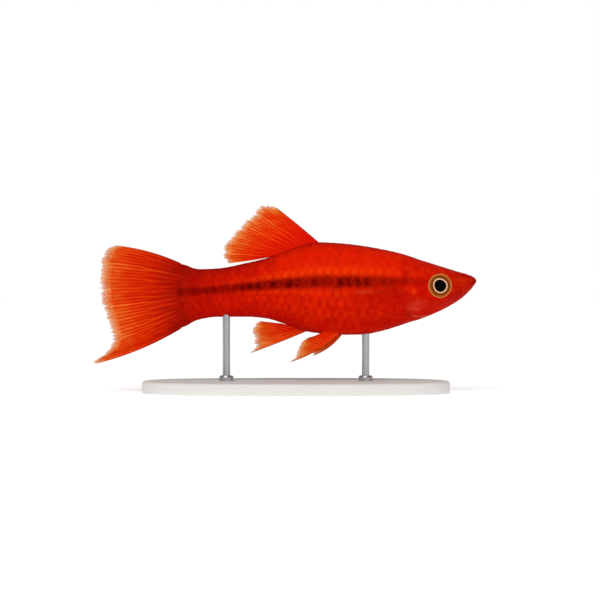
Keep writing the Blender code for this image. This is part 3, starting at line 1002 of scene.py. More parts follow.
@dataclass(frozen=True)
class Skin:
    """One seamless skin from the snout to the root of the tail fin."""

    body: Body
    gill: GillCover
    eye: Eye
    markings: Markings
    coat_depth: float = 0.14
    nape_x: float = 30.0
    nape_dip: float = 2.6
    throat_x: float = 28.0
    behind_cover: float = 0.15
    cover_height: float = 0.15
    cover_fall: float = 1.6
    slit_depth: float = 0.08
    slit_fall: float = 0.35
    crease_depth: float = 0.05
    crease_half: float = 0.16
    around: int = 288
    head_rings: int = 168
    body_rings: int = 96
    neck_x: float = 23.0
    snout_crowding: float = 1.25
    mouth_front: tuple[float, float] = (40.0, 0.95)
    mouth_corner: tuple[float, float] = (38.1, 0.1)
    gape: float = 0.06
    gape_depth: float = 0.2
    mouth_heart: tuple[float, float] = (37.5, -0.17)
    lip_height: float = 0.2
    lip_width: float = 0.3
    lip_off_line: float = 0.42
    snout_fold: float = 0.07
    snout_fold_x: float = 38.45
    gular_fold: float = 0.08
    gular_span: Span = (25.5, 28.0, 37.5, 39.2)
    throat_folds: tuple[float, ...] = (150.0, 158.0, 166.0)
    throat_fold: float = 0.056
    throat_slant: float = 1.1
    throat_middle: float = 31.0
    throat_span: Span = (27.5, 29.0, 33.5, 35.5)
    pores: tuple[tuple[float, float], ...] = (
        (35.9, 62.0), (34.2, 52.0), (32.3, 49.0), (30.3, 53.0), (28.9, 63.0), (28.5, 77.0), (37.0, 82.0),
        (36.2, 104.0), (34.6, 122.0), (32.2, 131.0), (30.2, 128.0),
    )
    pore_radius: float = 0.13
    pore_depth: float = 0.07
    nostrils: tuple[tuple[float, float, float], ...] = ((37.2, 34.0, 0.2), (35.7, 33.0, 0.26))
    nostril_rim: float = 0.05
    nostril_depth: float = 0.3
    eye_reach: float = 5.0
    eye_flat: tuple[float, float] = (4.4, 2.7)
    eye_rim: float = 0.07
    eye_depth: float = 1.0
    cheek: Spot = Spot(0.26, 27.3, 1.7, 125.0, 10.0)
    pale_edge: float = 1.2
    pale_span: Span = (136.0, 148.0, 160.0, 166.0)
    cover_light: Spot = Spot(0.7, 26.7, 0.4, 98.0, 4.5)
    snout_light: Spot = Spot(0.3, 36.4, 1.5, 74.0, 12.0)
    snout_smudge: Spot = Spot(0.3, 35.9, 0.8, 66.0, 12.0)

    def scaled_from(self, degrees: Array) -> Array:
        """The place along the body where the scales begin, at each turn round it."""
        turn = from_back(degrees)
        nape = self.nape_x - self.nape_dip * smooth(turn, 25, self.gill.top)
        behind = self.gill.edge(turn, False) + self.behind_cover
        above = turn < self.gill.top
        return np.where(above, np.maximum(nape, behind), np.minimum(behind, self.throat_x))

    def depth(self, x: Array, degrees: Array) -> Array:
        """How far the skin lies under the coat of scales."""
        behind = self.scaled_from(degrees) - x
        root = smooth(x, self.body.tail_x + 0.8, self.body.tail_x + 4)
        return self.coat_depth * smooth(behind, -0.2, 1.6) * root

    def mouth_place(self, x: Array, z: Array) -> tuple[Array, Array]:
        """Places beside the line between the lips, seen from the side.

        Args:
            x: Places along the body.
            z: The height of each.

        Returns:
            The distance of each across the line, and its share along it from corner to front.
        """
        corner, front = np.array(self.mouth_corner), np.array(self.mouth_front)
        run = front - corner
        to_x, to_z = x - corner[0], z - corner[1]
        length = np.linalg.norm(run)
        across = (run[0] * to_z - run[1] * to_x) / length
        return across, (to_x * run[0] + to_z * run[1]) / length**2

    def relief(self, x: Array, degrees: Array, point: Array) -> Array:
        """How far the head's forms stand out of its plain surface.

        Args:
            x: Places along the body.
            degrees: The turn of each round from the back.
            point: The point of the plain surface there.

        Returns:
            The heights.
        """
        turn = np.abs(degrees)
        raised = self._cover(x, turn) + self._lips(x, point) + self._openings(point)
        return raised - self._folds(x, turn) - self.depth(x, degrees)

    def _cover(self, x: Array, turn: Array) -> Array:
        """How far the gill cover stands out, with the slit behind it and the crease at its front."""
        inside = self.gill.inside(x, turn)
        cover = self.cover_height * np.exp(-np.maximum(inside, 0) / self.cover_fall)
        slit = -self.slit_depth * np.exp(np.minimum(inside, 0) / self.slit_fall)
        crease = bump(self.gill.inside(x, turn, True), 0, self.crease_half) * smooth(turn, 70, 84)
        raised = cover + (slit - cover) * smooth(inside, 0.1, -0.06)
        return self.gill.ends(turn) * (raised - self.crease_depth * crease)

    def _lips(self, x: Array, point: Array) -> Array:
        """How far the lips stand out beside the mouth's line."""
        across, along = self.mouth_place(x, point[..., 2])
        fade = smooth(along, -0.5, 0.5) * (0.15 + 0.85 * smooth(x, 39.85, 38.9))
        return self.lip_height * fade * bump(np.abs(across), self.lip_off_line, self.lip_width)

    def _folds(self, x: Array, turn: Array) -> Array:
        """How deep the folds behind the upper lip and under the throat are."""
        snout = bump(x, self.snout_fold_x + 0.012 * turn, 0.15) * smooth(turn, 84, 60)
        gular = bump(turn, 180, 2.6) * plateau(x, self.gular_span)
        depth = self.snout_fold * snout + self.gular_fold * gular
        for fold in self.throat_folds:
            line = fold - self.throat_slant * (x - self.throat_middle)
            depth += self.throat_fold * bump(turn, line, 1.4) * plateau(x, self.throat_span)
        return depth

    def _openings(self, point: Array) -> Array:
        """How far the nostrils' rims stand out, with the nostrils and the pores sunk in.

        Args:
            point: Points of the plain surface.

        Returns:
            The heights there.
        """
        out = np.zeros(point.shape[:-1])
        for side in Side:
            for x, degrees in self.pores:
                away = self._away(point, x, degrees * side.value)
                out -= self.pore_depth * bump(away, 0, self.pore_radius)
            for x, degrees, radius in self.nostrils:
                away = self._away(point, x, degrees * side.value)
                out += self.nostril_rim * bump(away, 1.5 * radius, 0.45 * radius)
                out -= self.nostril_depth * bump(away, 0, 0.75 * radius)
        return out

    def _away(self, point: Array, x: float, degrees: float) -> Array:
        """How far points are from one place of the body's surface."""
        return np.linalg.norm(point - self.body.point(np.array(x), np.array(degrees)), axis=-1)

    def socket(self, point: Array) -> Array:
        """Draws the skin flat round each eye and down into its socket.

        Args:
            point: Points of the skin.

        Returns:
            The points moved.
        """
        moved = point.copy()
        for side in Side:
            middle, axes = self.eye.frame(side)
            local = (point - middle) @ axes.T
            away = np.hypot(local[..., 0], local[..., 1])
            near = (away < self.eye_reach) & (point[..., 1] * side.value > 0)
            level = -local[..., 2] * smooth(away, *self.eye_flat)
            rim = self.eye_rim * bump(away, self.eye.rim + 0.16, 0.14)
            sunk = -self.eye_depth * smooth(away, self.eye.rim + 0.05, self.eye.rim - 0.25)
            moved += np.where(near, level + rim + sunk, 0)[..., None] * axes[2]
        return moved

    def mouth(self, point: Array) -> Array:
        """Draws the skin in along the line between the lips.

        Args:
            point: Points of the skin.

        Returns:
            The points moved.
        """
        across, along = self.mouth_place(point[..., 0], point[..., 2])
        depth = self.gape_depth * bump(across, 0, self.gape) * smooth(along, -0.05, 0.35)
        inward = np.array([self.mouth_heart[0], 0.0, self.mouth_heart[1]]) - point
        inward /= np.linalg.norm(inward, axis=-1, keepdims=True)
        return point + inward * depth[..., None]

    def marks(self, x: Array, degrees: Array, point: Array) -> Masks:
        """The skin's markings, with the head's own and painted shade in the gill slit and along the mouth's
        line.

        Args:
            x: Places along the body.
            degrees: The turn of each round from the back.
            point: The point of the plain surface there.

        Returns:
            The masks.
        """
        turn = np.abs(degrees)
        half = np.full(x.shape, 0.5)
        plain = self.markings.masks(x, self.body.row_at(x, turn), half, half, 0 * half)
        inside = self.gill.inside(x, turn)
        ends = self.gill.ends(turn)
        # painted shadow behind the gill cover's free edge and in the gill opening below it
        slit = 0.3 * bump(inside, -0.12, 0.16) + 0.22 * bump(inside, -0.3, 0.7)
        slit += 0.9 * smooth(turn, 132, 144) * bump(inside, -0.2, 0.26)
        across, along = self.mouth_place(x, point[..., 2])
        # painted shade in the line between the lips
        lips = 0.8 * bump(across, 0, 0.07) * smooth(along, -0.1, 0.3)
        smudge = self.snout_smudge(x, turn) + 0.3 * bump(x, 39.4, 0.5) * smooth(turn, 110, 70)
        dusk_and_shade = np.max([plain.dusk_and_shade, ends * slit, lips, smudge], axis=0)
        orange_and_highlight = plain.orange_and_highlight + self.cover_light(x, turn) + self.snout_light(x, turn)
        edge = self.pale_edge * ends * bump(inside, 0.17, 0.13) * plateau(turn, self.pale_span)
        return Masks(plain.stripe, orange_and_highlight, plain.deep, dusk_and_shade, self.cheek(x, turn) + edge, plain.fleck)

    def build(self, shop: Workshop, material: Material) -> None:
        """Draws the skin over the body.

        Args:
            shop: Where pieces are written.
            material: The skin's finish.
        """
        body_xs = np.linspace(self.body.tail_x, self.neck_x, self.body_rings, endpoint=False)
        share = 1 - np.linspace(0, 1, self.head_rings)
        head_xs = self.body.snout_x - (self.body.snout_x - self.neck_x) * share**self.snout_crowding
        xs = np.concatenate([body_xs, head_xs])
        bm = bmesh.new()
        bmesh.ops.create_grid(bm, x_segments=len(xs) - 1, y_segments=self.around, size=0.5)
        flat = corners(bm)
        x = xs[np.rint((flat[:, 0] + 0.5) * (len(xs) - 1)).astype(int)]
        degrees = 360 * (np.rint((flat[:, 1] + 0.5) * self.around) % self.around) / self.around
        degrees = np.where(degrees > 180, degrees - 360, degrees)
        plain = self.body.point(x, degrees)
        point = plain + self.body.normal(x, degrees) * self.relief(x, degrees, plain)[:, None]
        point = self.mouth(self.socket(point))
        put(bm, shop.to_model(point), **self.marks(x, degrees, plain).named())
        bmesh.ops.remove_doubles(bm, verts=bm.verts[:], dist=1e-8)
        bmesh.ops.holes_fill(bm, edges=[edge for edge in bm.edges if edge.is_boundary], sides=0)
        flesh = ("head", "trunk", "tail_stem", "gill_cover_left", "gill_cover_right")
        shop.piece("skin", bm, material, flesh, 80.0)


@dataclass(frozen=True)
class ScaleCoat:
    """Thin round scales in rows along the body, each lying over those behind it."""

    body: Body
    skin: Skin
    markings: Markings
    first_x: float = 31.0
    pitch: Curve = Curve(((-23.0, 1.4), (-10.0, 1.5), (5.0, 1.75), (24.0, 1.8), (31.0, 1.6)))
    half_width: float = 0.7
    lift: float = 0.14
    thick: float = 0.04
    dome: float = 0.025
    uneven: float = 0.008
    tail_gap: float = 1.2
    round_end: float = 0.42
    segments_along: int = 4
    segments_across: int = 8
    flat_rows: float = 2.5
    # where the painted highlight streak lies along each scale
    streak_at: float = 0.74
    streak_half: float = 0.15
    patch_at: float = 0.76
    patch_half: float = 0.24
    map_patch: float = 0.003
    map_margin: float = 0.01
    seed: int = 7

    @cached_property
    def stations(self) -> Array:
        """The place of each scale along the body, from the head back."""
        places = [self.first_x]
        while places[-1] > self.body.tail_x - 1:
            places.append(places[-1] - float(self.pitch(np.array(places[-1]))))
        return np.array(places)

    def station(self, count: Array) -> Array:
        """The place along the body at a count of scales from the first."""
        return np.interp(count, np.arange(len(self.stations)), self.stations)

    def roots(self, side: Side) -> list[tuple[float, float]]:
        """Places one side's scales.

        Args:
            side: The side of the fish.

        Returns:
            Each scale's count from the first and its row, negative on the right side.
        """
        found = []
        # the rows along the middle of the back and of the belly are laid with the left side
        whole = side is Side.LEFT
        for row in range(0 if whole else 1, self.body.rows + (1 if whole else 0)):
            for step in range(len(self.stations)):
                count = step + 0.5 * (row % 2)
                x = float(self.station(np.array(count)))
                degrees = self.body.degrees_at(np.array(x), np.array(float(row)))
                if self.body.tail_x + self.tail_gap < x < float(self.skin.scaled_from(degrees)):
                    found.append((count, float(row * side.value)))
        return found

    def template(self) -> tuple[bpy.types.Mesh, Array]:
        """One flat scale as a closed plate, with each point's share along it, across it and its face."""
        bm = bmesh.new()
        bmesh.ops.create_grid(bm, x_segments=self.segments_along, y_segments=self.segments_across, size=0.5)
        thicken(bm, 1)
        flat = corners(bm)
        mesh = bpy.data.meshes.new("scale")
        bm.to_mesh(mesh)
        bm.free()
        return mesh, np.stack([flat[:, 0] + 0.5, np.sin(math.pi * flat[:, 1]), flat[:, 2]])

    def build(self, side: Side, shop: Workshop, material: Material) -> None:
        """Lays one side's scales.

        Args:
            side: The side of the fish.
            shop: Where pieces are written.
            material: The skin's finish.
        """
        mesh, (share, across, face) = self.template()
        roots = np.array(self.roots(side))
        bm = bmesh.new()
        for _ in roots:
            bm.from_mesh(mesh)
        bpy.data.meshes.remove(mesh)
        count, row = (np.repeat(roots[:, i], len(share)) for i in (0, 1))
        share, across, face = (np.tile(values, len(roots)) for values in (share, across, face))
        dice = np.random.default_rng(self.seed + side.value)
        shade = np.repeat(dice.uniform(-1, 1, len(roots)), len(share) // len(roots))

        along = share * (1 - self.round_end * (1 - np.sqrt(np.clip(1 - across**2, 0, 1))))
        x = self.station(count + 2 * along - 1)
        place = row + np.where(row == 0, 1, np.sign(row)) * across * self.half_width
        degrees = self.body.degrees_at(x, place)
        front = self.skin.scaled_from(self.body.degrees_at(self.station(count), row))
        settle = 0.35 + 0.65 * smooth(front - self.station(count), 0.0, 4.0)
        settle *= 0.2 + 0.8 * smooth(x, self.body.tail_x + 1, self.body.tail_x + 7)
        last = self.body.rows
        settle *= 0.4 + 0.6 * plateau(np.abs(row), (0, self.flat_rows, last - self.flat_rows, last))
        height = (self.lift * along + self.dome * (1 - across**2) * along) * settle + self.uneven * shade
        height += np.where(face > 0.5, 0, -self.thick) - self.skin.depth(x, degrees)
        point = self.body.off(x, degrees, height)

        # painted highlight: an upright streak in the middle of each scale, where it catches the light
        streak = bump(along, self.streak_at, self.streak_half) * (1 - 0.6 * across**4) * (1 + 0.3 * shade)
        patch = np.exp(-((np.abs(along - self.patch_at) / self.patch_half) ** 4))
        patch *= (1 - 0.5 * np.abs(across) ** 6) * (1 + 0.12 * shade)
        masks = self.markings.masks(x, self.body.row_at(x, degrees), streak, patch, shade)
        put(bm, shop.to_model(point), **masks.named())

        spread = 1 - 2 * self.map_margin
        from_tail = (self.station(count) - self.body.tail_x) / (self.body.snout_x - self.body.tail_x)
        u = from_tail * spread + (along - 0.5) * self.map_patch + self.map_margin
        v = (row / self.body.rows + 1) / 2 * spread + across * self.map_patch / 2 + self.map_margin
        u += np.where(face > 0.5, 0, 1.3 * self.map_patch)
        self._unwrap(bm, u, v)
        shop.piece(f"scales_{side.name.lower()}", bm, material)

    def _unwrap(self, bm: Shape, u: Array, v: Array) -> None:
        """Gives each scale its patch on the unwrapped body."""
        layer = bm.loops.layers.uv.new("OFBake")
        bm.verts.index_update()
        pairs = list(zip(u.tolist(), v.tolist()))
        for face in bm.faces:
            for loop in face.loops:
                loop[layer].uv = pairs[loop.vert.index]


@dataclass(frozen=True)
class Fin:
    """A fin's branching rays, each from the base to the edge, with the thin membrane between them."""

    name: str
    base: tuple[tuple[float, float], ...]
    edge: tuple[tuple[float, float], ...]
    rays: int
    body: Body
    root_thick: float = 0.9
    first_bow: float = 0.0
    last_bow: float = 0.0
    ripple: float = 0.0
    rows: int = 34
    columns_per_ray: int = 16
    out_from: float = 0.0
    forks: tuple[float, float] = (0.36, 0.68)
    fork_runs: tuple[float, float] = (0.16, 0.14)
    notch: float = 0.5
    root_in: float = 0.06
    fleshy_to: float = 0.28
    membrane: float = 0.12
    edge_thick: float = 0.05
    ray_height: float = 0.09
    brim_first: float = 1.0
    brim_last: float = 0.0
    pale_first: float = 0.0
    seed: int = 3
    slot: Slot = Slot.FIN

    def _along(self, points: tuple[tuple[float, float], ...], share: Array) -> Array:
        """Points of the base or the edge.

        Args:
            points: Its knots, as places along the body with their heights.
            share: Shares of its length.

        Returns:
            The points there.
        """
        knots = np.array(points, float)
        lengths = np.concatenate([[0.0], np.cumsum(np.linalg.norm(np.diff(knots, axis=0), axis=1))])
        across = Curve(tuple(zip(lengths.tolist(), knots[:, 0].tolist())))
        up = Curve(tuple(zip(lengths.tolist(), knots[:, 1].tolist())))
        at = share * lengths[-1]
        return np.stack([across(at), np.zeros_like(at), up(at)], axis=-1)

    @cached_property
    def dice(self) -> Array:
        """A seeded number from 0 to 1 for each last branch of each ray."""
        return np.random.default_rng(self.seed).uniform(0, 1, self.rays * 4 + 1)

    def _count(self, u: Array) -> Array:
        """Each share across the fin as a count of rays."""
        return np.clip(u, 0, NEARLY_ONE) * self.rays

    def _short(self, u: Array) -> Array:
        """How far the edge stays short of its full reach, in millimetres."""
        phase = self._count(u)
        branch = np.floor(phase * 4).astype(int)
        valley = 1 - np.sin(np.pi * ((phase * 4) % 1)) ** 2
        gap = np.cos(np.pi * (phase % 1)) ** 4
        drift = np.sin(1.7 * phase + self.seed) * np.sin(0.9 * phase + 2.3 * self.seed)
        depth = self.notch * (0.5 * valley + 0.25 * gap + 0.9 * self.dice[branch] ** 2 + 0.3 * (1 + drift))
        return depth * np.clip(np.minimum(u, 1 - u) * self.rays * 2.5, 0, 1)

    def _ray(self, u: Array, v: Array, fine: float = 1.0) -> Array:
        """How much each point is on a ray: 1 on its crest and 0 on the membrane.

        Args:
            u: Shares across the fin.
            v: Shares along the rays.
            fine: How fully the rays fork for the second time.

        Returns:
            The shares.
        """
        phase = (np.clip(u, 0, 1) * self.rays) % 1
        whole = np.sin(np.pi * phase) ** 8
        forked = np.sin(2 * np.pi * phase) ** 6
        twice = np.sin(4 * np.pi * phase) ** 4
        first, second = (smooth(v, at, at + run) for at, run in zip(self.forks, self.fork_runs))
        second = fine * second
        return (whole * (1 - first) + forked * first) * (1 - second) + twice * second

    def _lit(self, u: Array) -> Array:
        """How bright each ray's two branches are beside the others."""
        ray = np.floor(self._count(u)).astype(int)
        branch = np.floor(self._count(u) * 2).astype(int)
        lit = (0.2 + 0.8 * self.dice[ray * 3]) * (0.25 + 0.75 * self.dice[::-1][branch * 2])
        return np.maximum(lit, self.pale_first * smooth(u, 0.45, 0.1))

    def middle(self, u: Array, v: Array) -> Array:
        """Points of the fin's middle surface, seen from the side.

        Args:
            u: Shares across the fin, from its first ray to its last.
            v: Shares along the rays, from the root to the edge.

        Returns:
            The points.
        """
        root = self._along(self.base, u)
        run = self._along(self.edge, u) - root
        length = np.linalg.norm(run, axis=-1)
        up = np.stack([run[:, 2], np.zeros(len(u)), -run[:, 0]], axis=-1) / length[:, None]
        bow = self.first_bow + (self.last_bow - self.first_bow) * u
        reach = v * (1 - np.where(v > 0, self._short(u) / length, 0))
        point = root + run * reach[:, None] + up * (bow * 4 * reach * (1 - reach))[:, None]
        point[:, 1] = self.ripple * v * np.sin(math.tau * u)
        return point

    def half_thick(self, u: Array, v: Array) -> Array:
        """Half the fin's thickness, from its fleshy root to its thin edge."""
        fleshy = np.clip(1 - v / self.fleshy_to, 0, 1.1) ** 2 * (1 - (2 * np.clip(u, 0, 1) - 1) ** 4) ** 0.5
        thin = self.membrane + (self.edge_thick - self.membrane) * smooth(v, 0.3, 1.0)
        rays = self.ray_height * self._ray(u, v) * smooth(v, -0.02, 0.15) * (1 - 0.65 * v)
        return thin / 2 + (self.root_thick - self.membrane) / 2 * fleshy + rays

    def place(self, u: Array, v: Array, face: Array) -> Array:
        """Points of the fin's two faces, where face is -1 or 1."""
        point = self.middle(u, v)
        point[:, 1] += face * self.half_thick(u, v)
        return point

    def numbers(self, u: Array, v: Array) -> dict[str, Array]:
        """What the fin's finish reads.

        Args:
            u: Shares across the fin.
            v: Shares along the rays.

        Returns:
            For each attribute's name, its value at each point.
        """
        brim = self.brim_first * smooth(u * self.rays, 0.3, 0.05)
        brim += self.brim_last * smooth((1 - u) * self.rays, 0.3, 0.05)
        length = np.linalg.norm(self._along(self.edge, u) - self._along(self.base, u), axis=-1)
        return {
            "ray": self._ray(u, v) * smooth(v, 0.0, 0.14),
            "lit": self._ray(u, v, 0.25) * self._lit(u),
            "out": self.out_from + (1 - self.out_from) * np.clip(v, 0, 1),
            "brim": np.clip(brim, 0, 1) * smooth(v, 0.02, 0.12),
            "reach": v * length,
        }

    def build(self, shop: Workshop, material: Material) -> None:
        """Draws the fin as one thin plate with its rays raised on both faces.

        Args:
            shop: Where pieces are written.
            material: The fin's finish.
        """
        bm = bmesh.new()
        columns = self.rays * self.columns_per_ray
        bmesh.ops.create_grid(bm, x_segments=columns, y_segments=self.rows, size=0.5)
        bmesh.ops.triangulate(bm, faces=bm.faces[:])
        thicken(bm, 1)
        flat = corners(bm)
        u = flat[:, 0] + 0.5
        v = -self.root_in + (1 + self.root_in) * (flat[:, 1] + 0.5)
        face = np.where(flat[:, 2] > 0.5, 1, -1)
        put(bm, shop.to_model(self.place(u, v, face)), **self.numbers(u, v))
        shop.piece(f"{self.name}_rayed", bm, material, (self.name,), 75.0)


@dataclass(frozen=True)
class CaudalFin(Fin):
    """The tail fin, swept a little to one side."""

    sweep: float = 1.0
    root_middle: float = -2.3
    root_taper: float = 2.2

    def place(self, u: Array, v: Array, face: Array) -> Array:
        """Points of the fin's two faces."""
        point = super().place(u, v, face)
        point[:, 1] += self.sweep * v * np.abs(v)
        point[:, 2] += (self.root_middle - point[:, 2]) * np.maximum(-v, 0) * self.root_taper
        return point


@dataclass(frozen=True)
class PelvicFin(Fin):
    """A pelvic fin, rooted beside the middle of the belly and splayed to its own side."""

    side: Side = Side.LEFT
    off_middle: float = 1.15
    splay: float = 2.6
    splay_last: float = 0.6

    def place(self, u: Array, v: Array, face: Array) -> Array:
        """Points of the fin's two faces."""
        hand = self.side.value
        off = hand * self.off_middle + face * self.half_thick(u, v)
        root = self._along(self.base, u)
        point = self.middle(u, v)
        point[:, 2] += (self.body.underside(root[:, 0], off) - root[:, 2]) * (1 - v)
        point[:, 1] = off + hand * self.splay * (1 - (1 - self.splay_last) * u) * v
        return point


@dataclass(frozen=True)
class PectoralFin(Fin):
    """A pectoral fin, laid back beside the flank and flared off it."""

    side: Side = Side.LEFT
    flare: float = 2.3
    clear: float = 0.1
    shown_at: float = 0.66
    shown_half: float = 0.13

    def place(self, u: Array, v: Array, face: Array) -> Array:
        """Points of the fin's two faces."""
        point = self.middle(u, v)
        half = self.half_thick(u, v)
        off = self.body.flank_half(point[:, 0], point[:, 2]) - self.root_thick / 2 * smooth(v, 0.2, 0.0)
        off += half + self.clear * smooth(v, -0.05, 0.1) + self.flare * v * np.abs(v)
        point[:, 1] = self.side.value * off
        point[:, 1] += face * half
        return point

    def _lit(self, u: Array) -> Array:
        """How bright each ray is, of which only a few in the middle show."""
        return (0.5 + 0.5 * super()._lit(u)) * bump(u, self.shown_at, self.shown_half)


@dataclass(frozen=True)
class Stand:
    """A flat oval base and two thin rods up to the belly, sized from the frame."""

    squareness: float = 2.5
    outline: int = 144
    ease: float = 0.6
    ease_steps: int = 5
    rod_sides: int = 48
    rod_below: float = 0.5
    rod_into_belly: float = 1.2
    collar: float = 1.5
    collar_height: float = 1.1

    def base(self, shop: Workshop, material: Material) -> None:
        """Makes the base, an oval with its upper edge eased and its lower edge softened.

        Args:
            shop: Where pieces are written.
            material: The base's finish.
        """
        low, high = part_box("stand_base")
        middle, size = (low + high) / 2, high - low
        bm = bmesh.new()
        bmesh.ops.create_circle(bm, cap_ends=True, segments=self.outline, radius=1)
        flat = corners(bm)
        power = 2 / self.squareness
        flat[:, :2] = np.sign(flat[:, :2]) * np.abs(flat[:, :2]) ** power
        put(bm, flat * np.array([size.x / 2, size.y / 2, 0]) + np.array([middle.x, middle.y, 0.0]))
        thicken(bm, size.z)
        upper_ease = self.ease * MM
        for rim, ease in ((size.z, upper_ease), (0.0, upper_ease / 4)):
            edges = [e for e in bm.edges if all(abs(v.co.z - rim) < upper_ease / 9 for v in e.verts)]
            bmesh.ops.bevel(
                bm, geom=edges, offset=ease, segments=self.ease_steps, profile=0.5, affect="EDGES",
                material=-1,
            )
        shop.piece("stand_base_plate", bm, material, ("stand_base",), 30.0)

    def rod(self, name: str, shop: Workshop, material: Material) -> None:
        """Makes one rod with a small collar at its foot.

        Args:
            name: The solid that the rod stands for.
            shop: Where pieces are written.
            material: The rods' finish.
        """
        low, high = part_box(name)
        middle, size = (low + high) / 2, high - low
        radius = size.x / 2 / MM
        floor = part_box("stand_base")[1].z / MM
        foot, top = floor - self.rod_below, high.z / MM + self.rod_into_belly
        rim, shoulder = floor + 0.7 * self.collar_height, floor + self.collar_height
        profile = (
            (0.0, foot), (self.collar, foot), (self.collar, rim), (0.85 * self.collar, shoulder),
            (radius, shoulder), (radius, top), (0.0, top),
        )
        bm = turned(profile, self.rod_sides)
        put(bm, corners(bm) * MM + np.array([middle.x, middle.y, 0.0]))
        shop.piece(f"{name}_steel", bm, material, (name,), 30.0)


@dataclass(frozen=True)
class Studio:
    """A white floor, soft light and the camera."""

    middle: tuple[float, float] = (3.333, 19.333)
    frame_width: float = 125.0
    lens: float = 100.0
    sensor: float = 36.0
    floor_size: float = 6000.0
    sky: float = 0.32
    key: float = 1.36
    fill: float = 0.54

    def camera(self) -> None:
        """Looks level at the fish's right side."""
        data = bpy.data.cameras.new("camera")
        data.lens = self.lens
        data.sensor_width = self.sensor
        data.clip_start = 0.01
        made = add_object("camera", data)
        away = self.frame_width * self.lens / self.sensor
        made.location = Vector((self.middle[0], -away, self.middle[1])) * MM
        made.rotation_euler = (math.pi / 2, 0, 0)
        bpy.context.scene.camera = made

    def sun(self, name: str, strength: float, towards: tuple[float, float, float], spread: float) -> None:
        """A soft, even light from one direction.

        Args:
            name: The light's name.
            strength: How strong it is.
            towards: Where it shines.
            spread: How soft it is, in degrees.
        """
        data = bpy.data.lights.new(name, "SUN")
        data.energy = strength
        data.angle = math.radians(spread)
        made = add_object(name, data)
        made.rotation_euler = Vector(towards).to_track_quat("-Z", "Y").to_euler()

    def floor(self) -> None:
        """A wide white floor."""
        nodes = NodeTree("white floor")
        nodes.set(Base_Color=linear(250, 250, 250), Roughness=0.9, Specular_IOR_Level=0.0)
        nodes.set(Emission_Color=linear(255, 255, 255), Emission_Strength=0.4)
        bm = bmesh.new()
        bmesh.ops.create_grid(bm, x_segments=1, y_segments=1, size=self.floor_size * MM)
        mesh = bpy.data.meshes.new("floor")
        bm.to_mesh(mesh)
        bm.free()
        mesh.materials.append(nodes.material)
        add_object("floor", mesh)

    def sky_light(self) -> None:
        """Even light from all round, seen by the camera as white."""
        world = bpy.data.worlds.new("studio")
        world.use_nodes = True
        tree = world.node_tree
        seen = tree.nodes.new("ShaderNodeLightPath")
        strength = tree.nodes.new("ShaderNodeMapRange")
        tree.links.new(seen.outputs["Is Camera Ray"], strength.inputs["Value"])
        strength.inputs["To Min"].default_value = self.sky
        strength.inputs["To Max"].default_value = 1.0
        background = tree.nodes["Background"]
        background.inputs["Color"].default_value = (1, 1, 1, 1)
        tree.links.new(strength.outputs["Result"], background.inputs["Strength"])
        bpy.context.scene.world = world

    def build(self) -> None:
        """Sets up the whole studio."""
        self.camera()
        self.floor()
        self.sky_light()
        self.sun("key", self.key, (0.25, 0.75, -0.9), 40.0)
        self.sun("fill", self.fill, (-0.5, 1.0, -0.15), 70.0)
        bpy.context.scene.view_settings.view_transform = "Standard"


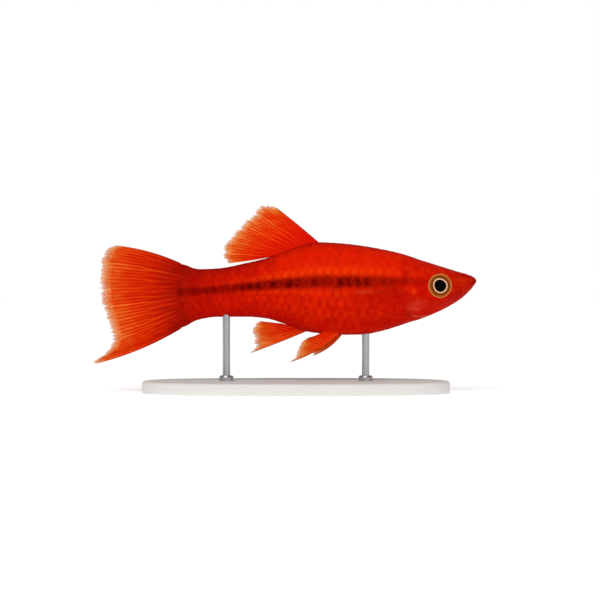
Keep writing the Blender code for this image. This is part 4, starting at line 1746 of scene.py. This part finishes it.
def fins(body: Body) -> list[Fin]:
    """All the fins.

    Args:
        body: The body that they grow from.

    Returns:
        The fins.
    """
    pectoral = dict(
        base=((21.6, -0.1), (21.3, -2.0)),
        edge=((14.3, 1.6), (13.9, 0.4), (14.2, -1.2), (15.2, -2.9)),
        rays=11, body=body, root_thick=0.5, rows=20, columns_per_ray=16, notch=0.3, membrane=0.06,
        edge_thick=0.04, ray_height=0.06, brim_first=0.0, slot=Slot.CLEAR_FIN,
    )
    return [
        CaudalFin(
            name="caudal_fin",
            base=((-21.4, 4.5), (-21.4, -9.1)),
            edge=(
                (-35.4, 8.3), (-36.6, 8.0), (-37.7, 7.0), (-38.5, 5.2), (-38.7, -0.4), (-38.4, -3.6),
                (-37.5, -6.1), (-36.4, -9.4), (-36.0, -10.9), (-36.7, -13.1), (-37.8, -14.5),
                (-40.0, -16.1), (-39.4, -16.5),
            ),
            rays=18, body=body, root_thick=1.2, first_bow=0.6, last_bow=-0.75, ripple=0.3, rows=40,
            brim_first=0.45, brim_last=0.3, seed=5,
        ),
        Fin(
            name="dorsal_fin",
            base=((7.1, 9.0), (4.0, 8.5), (0.6, 7.3), (-3.9, 5.6)),
            edge=(
                (-1.4, 16.0), (-2.9, 16.7), (-4.7, 16.8), (-6.6, 14.9), (-8.9, 12.6), (-10.8, 10.5),
                (-12.5, 8.5), (-13.0, 6.2), (-11.7, 4.5),
            ),
            rays=13, body=body, root_thick=1.0, first_bow=0.08, last_bow=-0.1, ripple=0.35, seed=11,
        ),
        Fin(
            name="anal_fin",
            base=((4.4, -9.8), (2.0, -9.0), (-0.7, -8.0)),
            edge=(
                (-7.2, -14.3), (-6.2, -12.9), (-6.5, -11.8), (-6.8, -10.4), (-6.9, -9.4), (-6.4, -8.2),
                (-5.2, -7.5),
            ),
            rays=8, body=body, out_from=0.36, first_bow=-0.1, ripple=0.2, rows=28, brim_last=0.8,
            pale_first=0.95, seed=17,
        ),
        PelvicFin(
            name="pelvic_fin_right",
            base=((11.3, -10.45), (7.8, -10.2)),
            edge=((0.9, -16.1), (2.2, -14.8), (2.5, -13.7), (2.8, -12.8), (3.4, -11.7), (4.3, -11.2)),
            rays=6, body=body, out_from=0.36, first_bow=-0.75, last_bow=-0.1, rows=26, brim_last=0.8,
            pale_first=0.95, side=Side.RIGHT, seed=23,
        ),
        PelvicFin(
            name="pelvic_fin_left",
            base=((12.2, -10.5), (8.6, -10.3)),
            edge=((5.9, -15.0), (5.3, -13.9), (5.0, -12.9), (4.8, -12.0), (5.0, -11.0)),
            rays=6, body=body, out_from=0.4, first_bow=-0.6, last_bow=-0.1, rows=24, brim_first=0.4,
            brim_last=0.8, pale_first=0.95, side=Side.LEFT, seed=29,
        ),
        PectoralFin(name="pectoral_fin_right", side=Side.RIGHT, seed=31, **pectoral),
        PectoralFin(name="pectoral_fin_left", side=Side.LEFT, seed=37, **pectoral),
    ]


def main() -> None:
    """Builds the model round the frame."""
    logging.basicConfig(level=logging.INFO, format="%(name)s %(message)s")
    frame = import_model()
    LOG.info("frame of %d solids", len(frame["nodes"]))
    body = Body()
    gill = GillCover()
    markings = Markings(body, gill)
    highest = float(np.max(body.back(np.linspace(0, 20, 200))))
    shop = Workshop(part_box("trunk")[1].z / MM - highest)
    eye = Eye(body)
    skin = Skin(body, gill, eye, markings)
    coat = ScaleCoat(body, skin, markings)
    stand = Stand()

    Studio().build()
    skin_finish = SkinFinish().material()
    skin.build(shop, skin_finish)
    eye_finish = EyeFinish().material()
    for side in Side:
        coat.build(side, shop, skin_finish)
        eye.build(side, shop, eye_finish)
    tail_finish = FinFinish("tail fin").material()
    fin_finish = FinFinish(
        "body fin", root=linear(214, 18, 3), inner=linear(220, 20, 3), middle=linear(226, 34, 3),
        outer=linear(234, 74, 10), margin=linear(240, 124, 44), ray=linear(255, 114, 26),
        ray_out=linear(255, 174, 82), gap=linear(192, 34, 3),
    ).material()
    clear_finish = FinFinish(
        "clear fin", root=linear(196, 20, 5), inner=linear(198, 24, 6), middle=linear(202, 28, 8),
        outer=linear(208, 36, 12), margin=linear(214, 44, 18), ray=linear(255, 128, 84),
        ray_out=linear(255, 150, 108), hair=linear(230, 90, 56), hair_dark=linear(200, 60, 34),
        ray_share=1.0, membrane=0.008, membrane_out=0.008, ray_solid=0.55, even=0.05,
    ).material()
    for fin in fins(body):
        if fin.slot is Slot.CLEAR_FIN:
            fin.build(shop, clear_finish)
        else:
            fin.build(shop, tail_finish if isinstance(fin, CaudalFin) else fin_finish)
    base_finish = StandFinish("matt base", linear(232, 231, 227), linear(216, 214, 209), (0.5, 0.66), 0.5)
    rod_finish = StandFinish(
        "brushed steel", linear(196, 198, 200), linear(160, 163, 166), (0.24, 0.38), 0.3,
        stretch=(1.0, 1.0, 0.05), metallic=1.0, relief=0.004,
    )
    stand.base(shop, base_finish.material())
    steel = rod_finish.material()
    for name in ("stand_rod_front", "stand_rod_rear"):
        stand.rod(name, shop, steel)
    LOG.info("%d pieces", len(shop.made))


if __name__ == "__main__":
    main()
